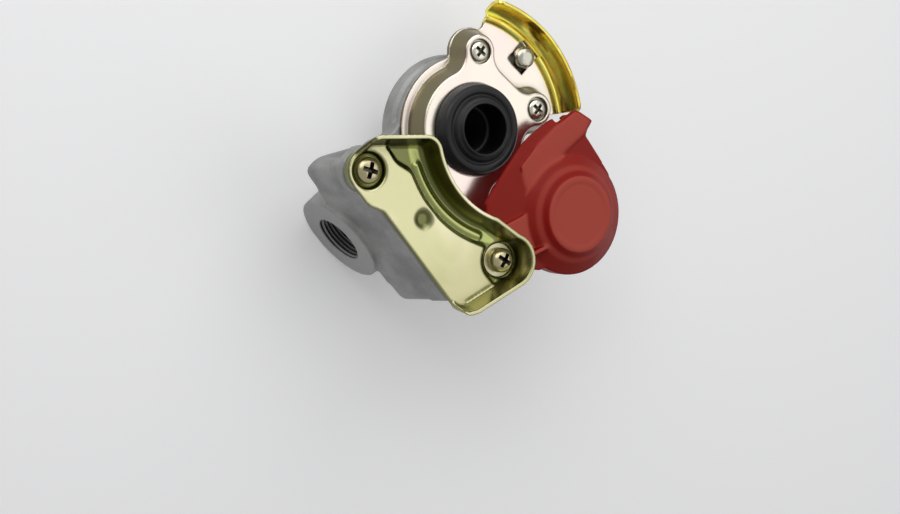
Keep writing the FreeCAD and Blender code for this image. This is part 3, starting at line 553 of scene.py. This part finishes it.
def casting_material(finish):
    """Dull die cast metal: a fine skin, paler worn edges, a turned face on the port, painted shade in the
    passages.
    """
    material, tree, shader = new_material("die_casting", 0.5, 0.55)
    grain = place_group(tree, shared("grain"), Scale=1100.0, Blotch_Scale=75.0)
    edge = place_group(tree, shared("edge"), Wear_Radius=0.7 * MM, Round_Radius=0.9 * MM, Breakup=500.0)
    skin = blend_colours(tree, grain.outputs["Shade"], opaque(finish.casting, 0.42),
                         opaque(finish.casting, 1.48))
    mottle = blend_colours(tree, grain.outputs["Blotch"], grey(0.86), grey(1.07))
    colour = blend_colours(tree, 1.0, skin, mottle, "MULTIPLY")
    worn = calculate(tree, "MULTIPLY", edge.outputs["Mask"], 0.55)
    colour = blend_colours(tree, worn, colour, opaque(finish.casting, 1.9))

    reach, place = seal_axis_reach(tree)
    below = calculate(tree, "ADD", place["Z"], finish.port_depth * MM)
    port_reach = hypotenuse(tree, place["Y"], below)
    face_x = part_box("cast_body")[1].x
    at_face = step_between(tree, place["X"], face_x - 0.3 * MM, face_x - 0.1 * MM)
    on_face = calculate(tree, "MULTIPLY", at_face, step_between(tree, port_reach, 9.6 * MM, 10.2 * MM))
    rings = add_node(tree, "TexNoise", noise_dimensions="1D", Scale=1900.0, Detail=2.0)
    tree.links.new(port_reach, rings.inputs["W"])
    colour = blend_colours(tree, calculate(tree, "MULTIPLY", on_face, 0.7), colour, opaque(finish.casting, 1.2))

    # Painted shade: the port's and the seal's passages are coloured nearly black.
    in_port = calculate(tree, "MULTIPLY", calculate(tree, "LESS_THAN", port_reach, PORT_PASSAGE_RADIUS * MM),
                        calculate(tree, "LESS_THAN", place["X"], face_x - 0.5 * MM))
    in_seal = calculate(tree, "MULTIPLY", calculate(tree, "LESS_THAN", reach, SEAL_PASSAGE_RADIUS * MM),
                        calculate(tree, "GREATER_THAN", place["Z"], SEAL_PASSAGE_FLOOR * MM))
    inside = calculate(tree, "MULTIPLY", calculate(tree, "MAXIMUM", in_port, in_seal), 0.93)
    colour = blend_colours(tree, inside, colour, opaque(finish.casting, 0.05))

    tree.links.new(colour, shader.inputs["Base Color"])
    tree.links.new(calculate(tree, "MULTIPLY_ADD", grain.outputs["Blotch"], 0.12, 0.44),
                   shader.inputs["Roughness"])
    cast_skin = calculate(tree, "MULTIPLY", grain.outputs["Height"],
                          calculate(tree, "MULTIPLY_ADD", on_face, -0.8, 1.0))
    height = calculate(tree, "MULTIPLY_ADD", calculate(tree, "MULTIPLY", rings.outputs["Fac"], on_face), 0.8,
                       cast_skin)
    tree.links.new(bumped(tree, height, edge.outputs["Normal"], 0.12, 0.7), shader.inputs["Normal"])
    return material


def guide_colour(tree, reach, place):
    """Bands of film along the guide: brown, gold and green, drifting round the seal's axis."""
    brown, gold, green = GUIDE_BANDS
    turn = calculate(tree, "ARCTAN2", place["Y"], place["X"])
    across = add_node(tree, "CombineXYZ", X=calculate(tree, "MULTIPLY", reach, 620.0),
                      Y=calculate(tree, "MULTIPLY", turn, 2.6))
    bands = add_node(tree, "TexNoise", Vector=across.outputs["Vector"], Scale=1.0, Detail=2.0, Distortion=0.25)
    low = blend_colours(tree, step_between(tree, bands.outputs["Fac"], 0.32, 0.44), brown, gold)
    return blend_colours(tree, step_between(tree, bands.outputs["Fac"], 0.46, 0.58), low, green)


def claw_shade_and_highlight(tree, colour):
    """Painted shade on the claw's low shelf with a painted highlight along its bead, painted shade in the dish,
    and a darker colour toward the tip.
    """
    reach, place = seal_axis_reach(tree)
    # Darker toward the tip.
    tip = calculate(tree, "MULTIPLY", step_between(tree, place["Y"], 4 * MM, 36 * MM), 0.7)
    colour = blend_colours(tree, tip, colour, TIP_COLOUR)
    spread = reach_from(tree, place, DISH_MIDDLE)
    dish = remainder(tree, step_between(tree, spread, 1.2 * MM, 4.6 * MM))
    # Painted shade in the dish.
    colour = blend_colours(tree, calculate(tree, "MULTIPLY", dish, 0.9), colour, DISH_SHADE)
    aside = calculate(tree, "ABSOLUTE", calculate(tree, "SUBTRACT", reach, BEAD_RADIUS * MM))
    bead = remainder(tree, step_between(tree, aside, 1.3 * MM, 2.6 * MM))
    # Painted shade on the low shelf, with a painted highlight along the bead.
    shelf = blend_colours(tree, bead, opaque(SHELF_SHADE), opaque(SHELF_SHADE, 2.6))
    low = remainder(tree, step_between(tree, place["Z"], 18.2 * MM, 19.0 * MM))
    return blend_colours(tree, calculate(tree, "MULTIPLY", low, 0.95), colour, shelf)


def pressed_material(name, film_and_shade_values, rounding, hollow_reach, guide=False, claw=False):
    """Plated pressed steel with painted shade on its walls and in its hollows, and the guide's gold bands or
    the claw's painted shade and highlight.
    """
    roughness = 0.24
    material, tree, shader = new_material(name, roughness, 1.0)
    film = place_group(tree, shared("passivation_and_shade"), **film_and_shade_values)
    # Painted shade: the occlusion mask darkens the plating in hollows.
    hollow = place_group(tree, shared("crevice_shade"), Distance=hollow_reach * MM)
    tree.links.new(hollow.outputs["Mask"], film.inputs["Crevice Shade"])
    edge = place_group(tree, shared("edge"), Wear_Radius=0.35 * MM, Round_Radius=rounding * MM, Breakup=300.0)
    grain = place_group(tree, shared("grain"), Scale=420.0, Blotch_Scale=90.0)
    colour = film.outputs["Color"]
    if guide:
        reach, place = seal_axis_reach(tree)
        beyond = step_between(tree, reach, GUIDE_START[0] * MM, GUIDE_START[1] * MM)
        colour = blend_colours(tree, beyond, colour, guide_colour(tree, reach, place))
    if claw:
        colour = claw_shade_and_highlight(tree, colour)
    colour = blend_colours(tree, calculate(tree, "MULTIPLY", edge.outputs["Mask"], 0.5), colour, RUBBED_PLATING)
    tree.links.new(colour, shader.inputs["Base Color"])
    tree.links.new(calculate(tree, "MULTIPLY_ADD", grain.outputs["Shade"], 0.16, roughness - 0.08),
                   shader.inputs["Roughness"])
    tree.links.new(bumped(tree, grain.outputs["Blotch"], edge.outputs["Normal"], 0.02, 0.6),
                   shader.inputs["Normal"])
    return material


def rubber_material(finish):
    """Moulded rubber, faintly dusty, with a matt skin and painted shade in the bore."""
    material, tree, shader = new_material("seal_rubber", 0.42, 0.0, Specular_IOR_Level=0.32)
    grain = place_group(tree, shared("grain"), Scale=1500.0, Blotch_Scale=120.0)
    colour = blend_colours(tree, grain.outputs["Shade"], opaque(finish.rubber, 0.6), opaque(finish.rubber, 1.5))
    reach, _ = seal_axis_reach(tree)
    # Painted shade: the bore's wall is coloured near black.
    colour = blend_colours(tree, step_between(tree, reach, 9.8 * MM, 10.4 * MM), grey(0.002), colour)
    tree.links.new(colour, shader.inputs["Base Color"])
    tree.links.new(calculate(tree, "MULTIPLY_ADD", grain.outputs["Blotch"], 0.14, 0.36),
                   shader.inputs["Roughness"])
    tree.links.new(bumped(tree, grain.outputs["Height"], None, 0.05, 0.5), shader.inputs["Normal"])
    return material


def steel_material(name, colour, roughness):
    """Bright turned steel with faint marks and paler edges."""
    material, tree, shader = new_material(name, roughness, 1.0)
    grain = place_group(tree, shared("grain"), Scale=900.0, Blotch_Scale=200.0)
    edge = place_group(tree, shared("edge"), Wear_Radius=0.25 * MM, Round_Radius=0.25 * MM, Breakup=900.0)
    shaded = blend_colours(tree, grain.outputs["Shade"], opaque(colour, 0.8), opaque(colour, 1.12))
    worn = calculate(tree, "MULTIPLY", edge.outputs["Mask"], 0.4)
    shaded = blend_colours(tree, worn, shaded, (0.9, 0.9, 0.86, 1))
    tree.links.new(shaded, shader.inputs["Base Color"])
    tree.links.new(calculate(tree, "MULTIPLY_ADD", grain.outputs["Blotch"], 0.14, roughness - 0.06),
                   shader.inputs["Roughness"])
    tree.links.new(bumped(tree, grain.outputs["Height"], edge.outputs["Normal"], 0.01, 0.5),
                   shader.inputs["Normal"])
    return material


def cap_material(finish):
    """Moulded red plastic: satin skin, a painted sheen on the upward faces of the dome and strap, painted shade
    in hollows, slightly chalky edges.
    """
    material, tree, shader = new_material("cap_plastic", 0.45, 0.0, Specular_IOR_Level=0.14)
    grain = place_group(tree, shared("grain"), Scale=700.0, Blotch_Scale=35.0)
    edge = place_group(tree, shared("edge"), Wear_Radius=0.4 * MM, Round_Radius=0.8 * MM, Breakup=350.0)
    hollow = place_group(tree, shared("crevice_shade"), Distance=7 * MM)
    normal = add_node(tree, "SeparateXYZ", Vector=add_node(tree, "TexCoord").outputs["Normal"])
    upward = step_between(tree, normal.outputs["Z"], 0.74, 0.97)
    place = object_place(tree)
    beyond = step_between(tree, reach_from(tree, place, CAP_MIDDLE), 22.5 * MM, 24.5 * MM)
    low = remainder(tree, step_between(tree, place["Z"], 4.3 * MM, 4.9 * MM))
    web = calculate(tree, "MULTIPLY", beyond, low)
    # Painted sheen: upward faces, less so on the low web, get a paler red.
    painted_sheen = calculate(tree, "MULTIPLY", upward, remainder(tree, calculate(tree, "MULTIPLY", web, 0.8)))
    colour = blend_colours(tree, painted_sheen, opaque(finish.cap), opaque(finish.cap_sheen))
    colour = blend_colours(tree, grain.outputs["Shade"], colour, grey(1.25), "MULTIPLY")
    # Painted shade: the cap's hollows get a darker red.
    colour = blend_colours(tree, calculate(tree, "MULTIPLY", hollow.outputs["Mask"], 0.55), colour,
                           opaque(finish.cap, 0.4))
    colour = blend_colours(tree, calculate(tree, "MULTIPLY", edge.outputs["Mask"], 0.35), colour,
                           opaque(finish.cap_chalk))
    tree.links.new(colour, shader.inputs["Base Color"])
    tree.links.new(calculate(tree, "MULTIPLY_ADD", grain.outputs["Blotch"], 0.16, 0.36),
                   shader.inputs["Roughness"])
    tree.links.new(bumped(tree, grain.outputs["Height"], edge.outputs["Normal"], 0.06, 0.45),
                   shader.inputs["Normal"])
    return material


def nylon_material():
    """Pale moulded nylon."""
    material, tree, shader = new_material("ring_nylon", 0.5, 0.0)
    grain = place_group(tree, shared("grain"), Scale=800.0, Blotch_Scale=80.0)
    colour = blend_colours(tree, grain.outputs["Shade"], (0.58, 0.56, 0.5, 1), (0.72, 0.7, 0.64, 1))
    tree.links.new(colour, shader.inputs["Base Color"])
    tree.links.new(bumped(tree, grain.outputs["Height"], None, 0.03, 0.4), shader.inputs["Normal"])
    return material


# Settings a user would change

class CouplingFinish(bpy.types.PropertyGroup):
    """Colours of the coupling's pieces, as linear light."""

    casting: bpy.props.FloatVectorProperty(
        name="Casting", description="Colour of the die cast body", subtype="COLOR", size=3,
        min=0.0, max=1.0, default=(0.35, 0.35, 0.342))
    rubber: bpy.props.FloatVectorProperty(
        name="Rubber", description="Colour of the seal", subtype="COLOR", size=3,
        min=0.0, max=1.0, default=(0.018, 0.018, 0.019))
    cap: bpy.props.FloatVectorProperty(
        name="Cap", description="Colour of the swinging cap", subtype="COLOR", size=3,
        min=0.0, max=1.0, default=(0.24, 0.004, 0.002))
    # The colour of the painted sheen on the cap's upward faces.
    cap_sheen: bpy.props.FloatVectorProperty(
        name="Cap sheen", description="Hazier colour of the cap's upward faces", subtype="COLOR", size=3,
        min=0.0, max=1.0, default=(0.43, 0.066, 0.046))
    cap_chalk: bpy.props.FloatVectorProperty(
        name="Cap edges", description="Paler colour on the cap's rubbed edges", subtype="COLOR", size=3,
        min=0.0, max=1.0, default=(0.42, 0.09, 0.065))
    port_depth: bpy.props.FloatProperty(
        name="Port depth", description="How far the port's axis lies under the seal's front, in millimetres",
        min=5.0, max=60.0, default=24.0)


class CouplingSizes(bpy.types.PropertyGroup):
    """Sizes of the details that only the scene has, in millimetres."""

    thread_pitch: bpy.props.FloatProperty(
        name="Thread pitch", description="Pitch of the hose port's thread in millimetres",
        min=0.5, max=4.0, default=1.5)
    thread_length: bpy.props.FloatProperty(
        name="Thread length", description="Length of the hose port's thread in millimetres",
        min=4.0, max=30.0, default=15.8)
    thread_radius: bpy.props.FloatProperty(
        name="Thread radius", description="Radius of the port's wall in millimetres",
        min=4.0, max=30.0, default=10.19)
    recess_reach: bpy.props.FloatProperty(
        name="Recess reach", description="How far a cross recess reaches, as a share of the head's radius",
        subtype="FACTOR", min=0.3, max=0.8, default=0.68)


class CouplingStage(bpy.types.PropertyGroup):
    """Light and floor."""

    floor_shade: bpy.props.FloatProperty(
        name="Floor shade", description="Grey value of the floor", subtype="FACTOR", min=0.0, max=1.0,
        default=0.86)
    key_power: bpy.props.FloatProperty(
        name="Key light", description="Power of the soft light from the image's upper right", subtype="POWER",
        min=0.0, max=200.0, default=2.8)
    panel_power: bpy.props.FloatProperty(
        name="Panel", description="Power of the panel that the polished flats mirror", subtype="POWER",
        min=0.0, max=200.0, default=0.88)
    side_power: bpy.props.FloatProperty(
        name="Side light", description="Power of the light from the image's upper left", subtype="POWER",
        min=0.0, max=200.0, default=1.9)
    sky_strength: bpy.props.FloatProperty(
        name="Sky strength", description="Strength of the even light all round", min=0.0, max=3.0, default=0.25)
    seen_strength: bpy.props.FloatProperty(
        name="Backdrop", description="How pale the room is, seen directly and in metal", min=0.0, max=1.0,
        default=0.44)
    floor_lift: bpy.props.FloatProperty(
        name="Floor lift", description="Light added to the floor where the camera sees it", min=0.0, max=1.0,
        default=0.24)


# One operator for each piece

class COUPLING_OT_cast_body(bpy.types.Operator):
    """Round and dress the casting, and wind its port's thread"""

    bl_idname = "coupling.cast_body"
    bl_label = "Cast body"

    def execute(self, context):
        finish = context.scene.coupling_finish
        material = casting_material(finish)
        body = welded_copy("cast_body")
        join_into(body, [self.screw_wall()])
        reskin(body, CASTING_VOXEL)
        face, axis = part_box("cast_body")[1].x / MM, -finish.port_depth
        # The seal's seat and the port's face are machined, so they keep their edges.
        relax(body, 5, lambda place: place.xy.length > SEAT_RADIUS and (
            place.x < face - 1.5 or math.hypot(place.y, place.z - axis) > PORT_FACE_RADIUS))
        # The block's outer corners are far rounder than the rest.
        relax(body, 45, lambda place: place.x > 44.0 and place.z < 6.0 and abs(place.y) > 24.0)
        bpy.ops.object.shade_smooth()
        finish_piece(body, "casting", BASE, "cast_body", material)
        self.thread(context.scene.coupling_sizes, finish)
        return {"FINISHED"}

    def screw_wall(self):
        """Cast wall that closes the claw screw's hole where it opens into the claw's gap."""
        centre = node_centre("claw_screw") / MM
        inner, outer = SCREW_WALL_RADII
        turns = [math.radians(degrees) for degrees in range(130, 271, 10)]
        outline = [(centre.x + outer * math.cos(turn), centre.y + outer * math.sin(turn)) for turn in turns]
        outline += [(centre.x + inner * math.cos(turn), centre.y + inner * math.sin(turn))
                    for turn in reversed(turns)]
        return prism(outline, *SCREW_WALL_LEVELS)

    def thread(self, sizes, finish):
        """Wind a three-cornered rib along the port's wall."""
        pitch = sizes.thread_pitch
        root, crest = sizes.thread_radius + 0.12, sizes.thread_radius - 0.72
        clear_choice()
        bpy.ops.mesh.primitive_circle_add(vertices=3, radius=MM, location=(0, 0, 0))
        thread = bpy.context.object
        corners = ((0.0, root), (pitch * 0.92, root), (pitch * 0.46, crest))
        for vertex, (along, out) in zip(thread.data.vertices, corners):
            vertex.co = (along * MM, 0, out * MM)
        helix = thread.modifiers.new("helix", "SCREW")
        helix.axis = "X"
        helix.angle = 2 * math.pi
        helix.screw_offset = pitch * MM
        helix.iterations = int(sizes.thread_length / pitch)
        helix.steps = helix.render_steps = 72
        apply_modifiers(thread)
        bpy.ops.object.mode_set(mode="EDIT")
        weld(0.002)
        bpy.ops.mesh.select_all(action="SELECT")
        bpy.ops.mesh.fill_holes(sides=4)
        face_outwards()
        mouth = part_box("cast_body")[1].x
        settle(thread, (mouth - (sizes.thread_length + 0.9) * MM, 0, -finish.port_depth * MM))
        smooth(thread, 25.0)
        cut = steel_material("cut_thread", (0.2, 0.2, 0.2), 0.4)
        finish_piece(thread, "port_thread", BASE, None, cut)


class COUPLING_OT_face_plate(bpy.types.Operator):
    """Dress the pressed face plate with its guide"""

    bl_idname = "coupling.face_plate"
    bl_label = "Face plate"

    def execute(self, context):
        material = pressed_material("pale_plating", PALE_FILM_AND_SHADE, rounding=1.1, hollow_reach=5.0, guide=True)
        plate = welded_copy("face_plate")
        smooth(plate)
        finish_piece(plate, "pressed_plate", BASE, "face_plate", material)
        return {"FINISHED"}


class COUPLING_OT_claw_plate(bpy.types.Operator):
    """Dress the pressed claw plate"""

    bl_idname = "coupling.claw_plate"
    bl_label = "Claw plate"

    def execute(self, context):
        material = pressed_material("yellow_plating", YELLOW_FILM_AND_SHADE, rounding=0.5, hollow_reach=11.0, claw=True)
        claw = welded_copy("claw_plate")
        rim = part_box("claw_plate")[1].z / MM
        reskin(claw, CLAW_VOXEL)
        relax(claw, 16, lambda place: place.z < rim - 2.0)
        relax(claw, 3, lambda place: True)
        bpy.ops.object.shade_smooth()
        finish_piece(claw, "pressed_claw", BASE, "claw_plate", material)
        return {"FINISHED"}


class COUPLING_OT_seal(bpy.types.Operator):
    """Turn the rubber seal with its rounded lips"""

    bl_idname = "coupling.seal"
    bl_label = "Seal ring"

    def execute(self, context):
        low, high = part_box("seal_ring")
        foot, outer = low.z / MM, high.x / MM
        shoulder = foot + SEAL_FOOT_HEIGHT
        profile = [(SEAL_BORE_RADIUS, foot), (outer, foot), (outer, shoulder), (SEAL_LIPS[0][0], shoulder)]
        ring = turned(profile + SEAL_LIPS, (0, 0, 0), steps=128, rounding=0.34, closed=True)
        smooth(ring, 50.0)
        rubber = rubber_material(context.scene.coupling_finish)
        finish_piece(ring, "rubber_seal", BASE, "seal_ring", rubber)
        return {"FINISHED"}


class COUPLING_OT_screws(bpy.types.Operator):
    """Turn the pan head screws and press their cross recesses"""

    bl_idname = "coupling.screws"
    bl_label = "Screws"

    def execute(self, context):
        platings = {"pale_screw": steel_material("pale_screw", (0.88, 0.85, 0.72), 0.26),
                    "golden_screw": steel_material("golden_screw", (0.62, 0.55, 0.33), 0.28)}
        # Painted shade: the faces of the cross recesses get this dark material.
        dark = steel_material("screw_recess_shade", (0.12, 0.11, 0.08), 0.4)
        share = context.scene.coupling_sizes.recess_reach
        for node, head, thread, turn, plating in SCREWS:
            low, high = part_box(node)
            radius, shank = (high.x - low.x) / 2 / MM, (high.z - low.z) / MM - head
            piece = turned(self.outline(radius, head, thread, shank), (0, 0, 0), steps=64)
            materials = (platings[plating], dark)
            for material in materials:
                piece.data.materials.append(material)
            for quarter in (0, 1):
                wing = self.wing(radius, head, share, math.radians(turn) + quarter * math.pi / 2, materials)
                cut = piece.modifiers.new("recess", "BOOLEAN")
                cut.operation = "DIFFERENCE"
                cut.object = wing
                apply_modifiers(piece)
                bpy.data.objects.remove(wing)
            centre = node_centre(node)
            settle(piece, (centre.x, centre.y, high.z - head * MM))
            smooth(piece, 40.0)
            finish_piece(piece, node + "_turned", BASE, node, materials[0])
        return {"FINISHED"}

    def outline(self, radius, head, thread, shank):
        """Half outline of a screw: its point, its thread and its pan head from the seat up."""
        points = [(0.0, -shank), (thread - 0.7, -shank)]
        for ring in range(int((shank - 0.8) / SCREW_PITCH)):
            level = -shank + 0.5 + ring * SCREW_PITCH
            points += [(thread - 0.45, level), (thread, level + SCREW_PITCH / 2)]
        return points + [
            (thread - 0.05, 0.0), (radius - 0.3, 0.0), (radius, 0.3), (radius, head * 0.42),
            (radius * 0.96, head * 0.62), (radius * 0.84, head * 0.82), (radius * 0.62, head * 0.95),
            (radius * 0.3, head), (0.0, head)]

    def wing(self, radius, head, share, turn, materials):
        """A cutter for one slot of the cross, narrower at its foot, that leaves faces with the dark material of
        painted shade.
        """
        reach, half, depth = radius * share, radius * 0.18, head * 0.62
        middle = head - depth / 2
        clear_choice()
        bpy.ops.mesh.primitive_cube_add(size=1, location=(0, 0, 0))
        wing = bpy.context.object
        wing.scale = (2 * reach * MM, 2 * half * MM, (depth + 0.1) * MM)
        wing.rotation_euler = (0, 0, turn)
        settle(wing, (0, 0, (middle + 0.05) * MM))
        for material in materials:
            wing.data.materials.append(material)
        for polygon in wing.data.polygons:
            polygon.material_index = 1
        for vertex in wing.data.vertices:
            if vertex.co.z < middle * MM:
                vertex.co.x *= 0.5
                vertex.co.y *= 0.5
        return wing


class COUPLING_OT_small_rings(bpy.types.Operator):
    """Turn the washer and the coding pin, and smooth a copy of the friction ring"""

    bl_idname = "coupling.small_rings"
    bl_label = "Washer, ring and pin"

    def execute(self, context):
        low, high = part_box("pivot_washer")
        centre = node_centre("pivot_washer")
        bore, outer, thick = 3.1, (high.x - low.x) / 2 / MM, (high.z - low.z) / MM
        washer = turned([(bore, 0.0), (outer, 0.0), (outer, thick), (bore, thick)],
                        (centre.x, centre.y, low.z), rounding=0.15, closed=True)
        smooth(washer, 40.0)
        plated = steel_material("washer_plating", (0.7, 0.66, 0.45), 0.3)
        finish_piece(washer, "washer", BASE, "pivot_washer", plated)

        friction = welded_copy("friction_ring")
        smooth(friction)
        finish_piece(friction, "nylon_ring", BASE, "friction_ring", nylon_material())

        low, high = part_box("coding_pin")
        centre = node_centre("coding_pin")
        radius, tall, shank = (high.x - low.x) / 2 / MM, (high.z - low.z) / MM, 7.0
        pin = turned([(0.0, 0.0), (2.5, 0.0), (3.0, 0.5), (3.0, shank), (radius, shank), (radius, tall - 2.0),
                      (radius - 0.35, tall - 1.1), (radius - 1.1, tall - 0.45), (radius - 2.4, tall - 0.08),
                      (0.0, tall)], (centre.x, centre.y, low.z), rounding=0.2)
        smooth(pin, 50.0)
        bright = steel_material("bright_pin", (0.62, 0.6, 0.52), 0.2)
        finish_piece(pin, "pin", BASE, "coding_pin", bright)
        return {"FINISHED"}


class COUPLING_OT_cap(bpy.types.Operator):
    """Round the swinging cap, add its strap, lip and web, and dress it"""

    bl_idname = "coupling.cap"
    bl_label = "Swinging cap"

    def execute(self, context):
        cap = welded_copy("swinging_cap")
        for vertex in cap.data.vertices:
            vertex.co = self.lowered(vertex.co / MM) * MM
        join_into(cap, [prism(outline, low, high) for outline, low, high in CAP_MOULDING])
        reskin(cap, CAP_VOXEL)
        relax(cap, 6, lambda place: True)
        # The strap is rounder than the rest, but not where it passes close to the seal.
        relax(cap, 30, lambda place: 3.3 < place.z < 6.5 and place.y < 31.5 and place.xy.length > 23.0)
        # So is the tab's end.
        relax(cap, 40, lambda place: place.x < -37.0)
        bpy.ops.object.shade_smooth()
        plastic = cap_material(context.scene.coupling_finish)
        finish_piece(cap, "dust_cap", CAP, "swinging_cap", plastic)
        return {"FINISHED"}

    def lowered(self, place):
        """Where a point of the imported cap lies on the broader, lower dome."""
        across, along = place.x - CAP_MIDDLE[0], place.y - CAP_MIDDLE[1]
        reach = math.hypot(across, along)
        if reach > DOME_RADIUS or place.z < DOME_FOOT - 0.05:
            return place
        wider, flatter = SLOPE_FACTORS if reach > CROWN_RADIUS else CROWN_FACTORS
        return Vector((CAP_MIDDLE[0] + across * wider, CAP_MIDDLE[1] + along * wider,
                       DOME_FOOT + (place.z - DOME_FOOT) * flatter))


class COUPLING_OT_stage(bpy.types.Operator):
    """Lay the floor, hang the lights and set up the camera"""

    bl_idname = "coupling.stage"
    bl_label = "Stage"

    def execute(self, context):
        settings = context.scene.coupling_stage
        self.floor(settings)
        self.room(context, settings)
        self.soft_light("key", *KEY_LAMP, settings.key_power)
        self.soft_light("panel", *PANEL_LAMP, settings.panel_power)
        self.soft_light("side", *SIDE_LAMP, settings.side_power)
        self.camera(context)
        return {"FINISHED"}

    def floor(self, settings):
        """A pale floor under the part, lifted where the camera or metal sees it."""
        clear_choice()
        bpy.ops.mesh.primitive_plane_add(size=FLOOR_WIDTH, location=(0, 0, cad_box[0].z))
        floor = bpy.context.object
        floor.name = "floor"
        pale, tree, shader = new_material("pale_floor", 0.5)
        shade = settings.floor_shade
        cloud = add_node(tree, "TexNoise", Vector=add_node(tree, "TexCoord").outputs["Object"], Scale=2.0,
                         Detail=2.0)
        tone = blend_colours(tree, cloud.outputs["Fac"], (shade * 0.98, shade * 0.98, shade * 0.985, 1),
                             (shade * 1.02, shade * 1.02, shade * 1.025, 1))
        tree.links.new(tone, shader.inputs["Base Color"])
        shader.inputs["Emission Color"].default_value = grey(1.0)
        tree.links.new(calculate(tree, "MULTIPLY", self.seen_rays(tree), settings.floor_lift),
                       shader.inputs["Emission Strength"])
        floor.data.materials.append(pale)

    def room(self, context, settings):
        """Even light all round, and a backdrop for the rays that see the room itself."""
        world = bpy.data.worlds.new("studio")
        context.scene.world = world
        world.use_nodes = True
        nodes, links = world.node_tree.nodes, world.node_tree.links
        sky, seen = nodes["Background"], nodes.new("ShaderNodeBackground")
        sky.inputs["Color"].default_value = (0.96, 0.97, 1.0, 1)
        sky.inputs["Strength"].default_value = settings.sky_strength
        seen.inputs["Color"].default_value = (1.0, 1.0, 0.99, 1)
        seen.inputs["Strength"].default_value = settings.seen_strength
        mix = nodes.new("ShaderNodeMixShader")
        links.new(self.seen_rays(world.node_tree), mix.inputs[0])
        links.new(sky.outputs[0], mix.inputs[1])
        links.new(seen.outputs[0], mix.inputs[2])
        links.new(mix.outputs[0], nodes["World Output"].inputs["Surface"])

    def seen_rays(self, tree):
        """1 for the rays that show the room itself, directly or in metal or glass."""
        path = add_node(tree, "LightPath")
        direct = calculate(tree, "ADD", path.outputs["Is Camera Ray"], path.outputs["Is Glossy Ray"])
        return calculate(tree, "ADD", direct, path.outputs["Is Transmission Ray"], clamp=True)

    def soft_light(self, name, direction, distance, width, power):
        """A square lamp that looks at the part's middle."""
        data = bpy.data.lights.new(name, "AREA")
        data.shape = "SQUARE"
        data.size = width
        data.energy = power
        lamp = bpy.data.objects.new(name, data)
        bpy.context.scene.collection.objects.link(lamp)
        middle = (cad_box[0] + cad_box[1]) / 2
        lamp.location = middle + direction.normalized() * distance
        lamp.rotation_euler = direction.to_track_quat("Z", "Y").to_euler()

    def camera(self, context):
        """The camera, in the place that was worked out from the photo."""
        data = bpy.data.cameras.new("camera")
        data.sensor_width = SENSOR_WIDTH
        data.lens = FOCAL_PIXELS * SENSOR_WIDTH / IMAGE_WIDTH
        data.clip_start, data.clip_end = 0.01, 20.0
        camera = bpy.data.objects.new("camera", data)
        context.scene.collection.objects.link(camera)
        toward = CAMERA_TOWARD.normalized()
        right = (CAMERA_RIGHT - toward * CAMERA_RIGHT.dot(toward)).normalized()
        up = toward.cross(right)
        turn = Matrix((right, up, toward)).transposed()
        camera.matrix_world = Matrix.Translation(CAMERA_PLACE) @ turn.to_4x4()
        context.scene.camera = camera


OPERATORS = (
    COUPLING_OT_cast_body,
    COUPLING_OT_face_plate,
    COUPLING_OT_claw_plate,
    COUPLING_OT_seal,
    COUPLING_OT_screws,
    COUPLING_OT_small_rings,
    COUPLING_OT_cap,
    COUPLING_OT_stage,
)


class COUPLING_PT_panel(bpy.types.Panel):
    """The coupling's sizes, colours and build steps"""

    bl_idname = "COUPLING_PT_panel"
    bl_label = "Palm coupling"
    bl_space_type = "VIEW_3D"
    bl_region_type = "UI"
    bl_category = "Coupling"

    def draw(self, context):
        layout = self.layout
        scene = context.scene
        for settings in (scene.coupling_sizes, scene.coupling_finish, scene.coupling_stage):
            box = layout.box()
            for name in settings.__annotations__:
                box.prop(settings, name)
        for operator in OPERATORS:
            layout.operator(operator.bl_idname)


GROUP_TYPES = (CouplingFinish, CouplingSizes, CouplingStage)


def register():
    for item in (*GROUP_TYPES, *OPERATORS, COUPLING_PT_panel):
        bpy.utils.register_class(item)
    scene = bpy.types.Scene
    scene.coupling_finish = bpy.props.PointerProperty(type=CouplingFinish)
    scene.coupling_sizes = bpy.props.PointerProperty(type=CouplingSizes)
    scene.coupling_stage = bpy.props.PointerProperty(type=CouplingStage)


def unregister():
    scene = bpy.types.Scene
    del scene.coupling_finish
    del scene.coupling_sizes
    del scene.coupling_stage
    for item in reversed((*GROUP_TYPES, *OPERATORS, COUPLING_PT_panel)):
        bpy.utils.unregister_class(item)


def main():
    register()
    bpy.context.scene.view_settings.view_transform = "Standard"
    bpy.ops.coupling.cast_body()
    bpy.ops.coupling.face_plate()
    bpy.ops.coupling.claw_plate()
    bpy.ops.coupling.seal()
    bpy.ops.coupling.screws()
    bpy.ops.coupling.small_rings()
    bpy.ops.coupling.cap()
    bpy.ops.coupling.stage()
    clear_choice()


if __name__ == "__main__":
    main()
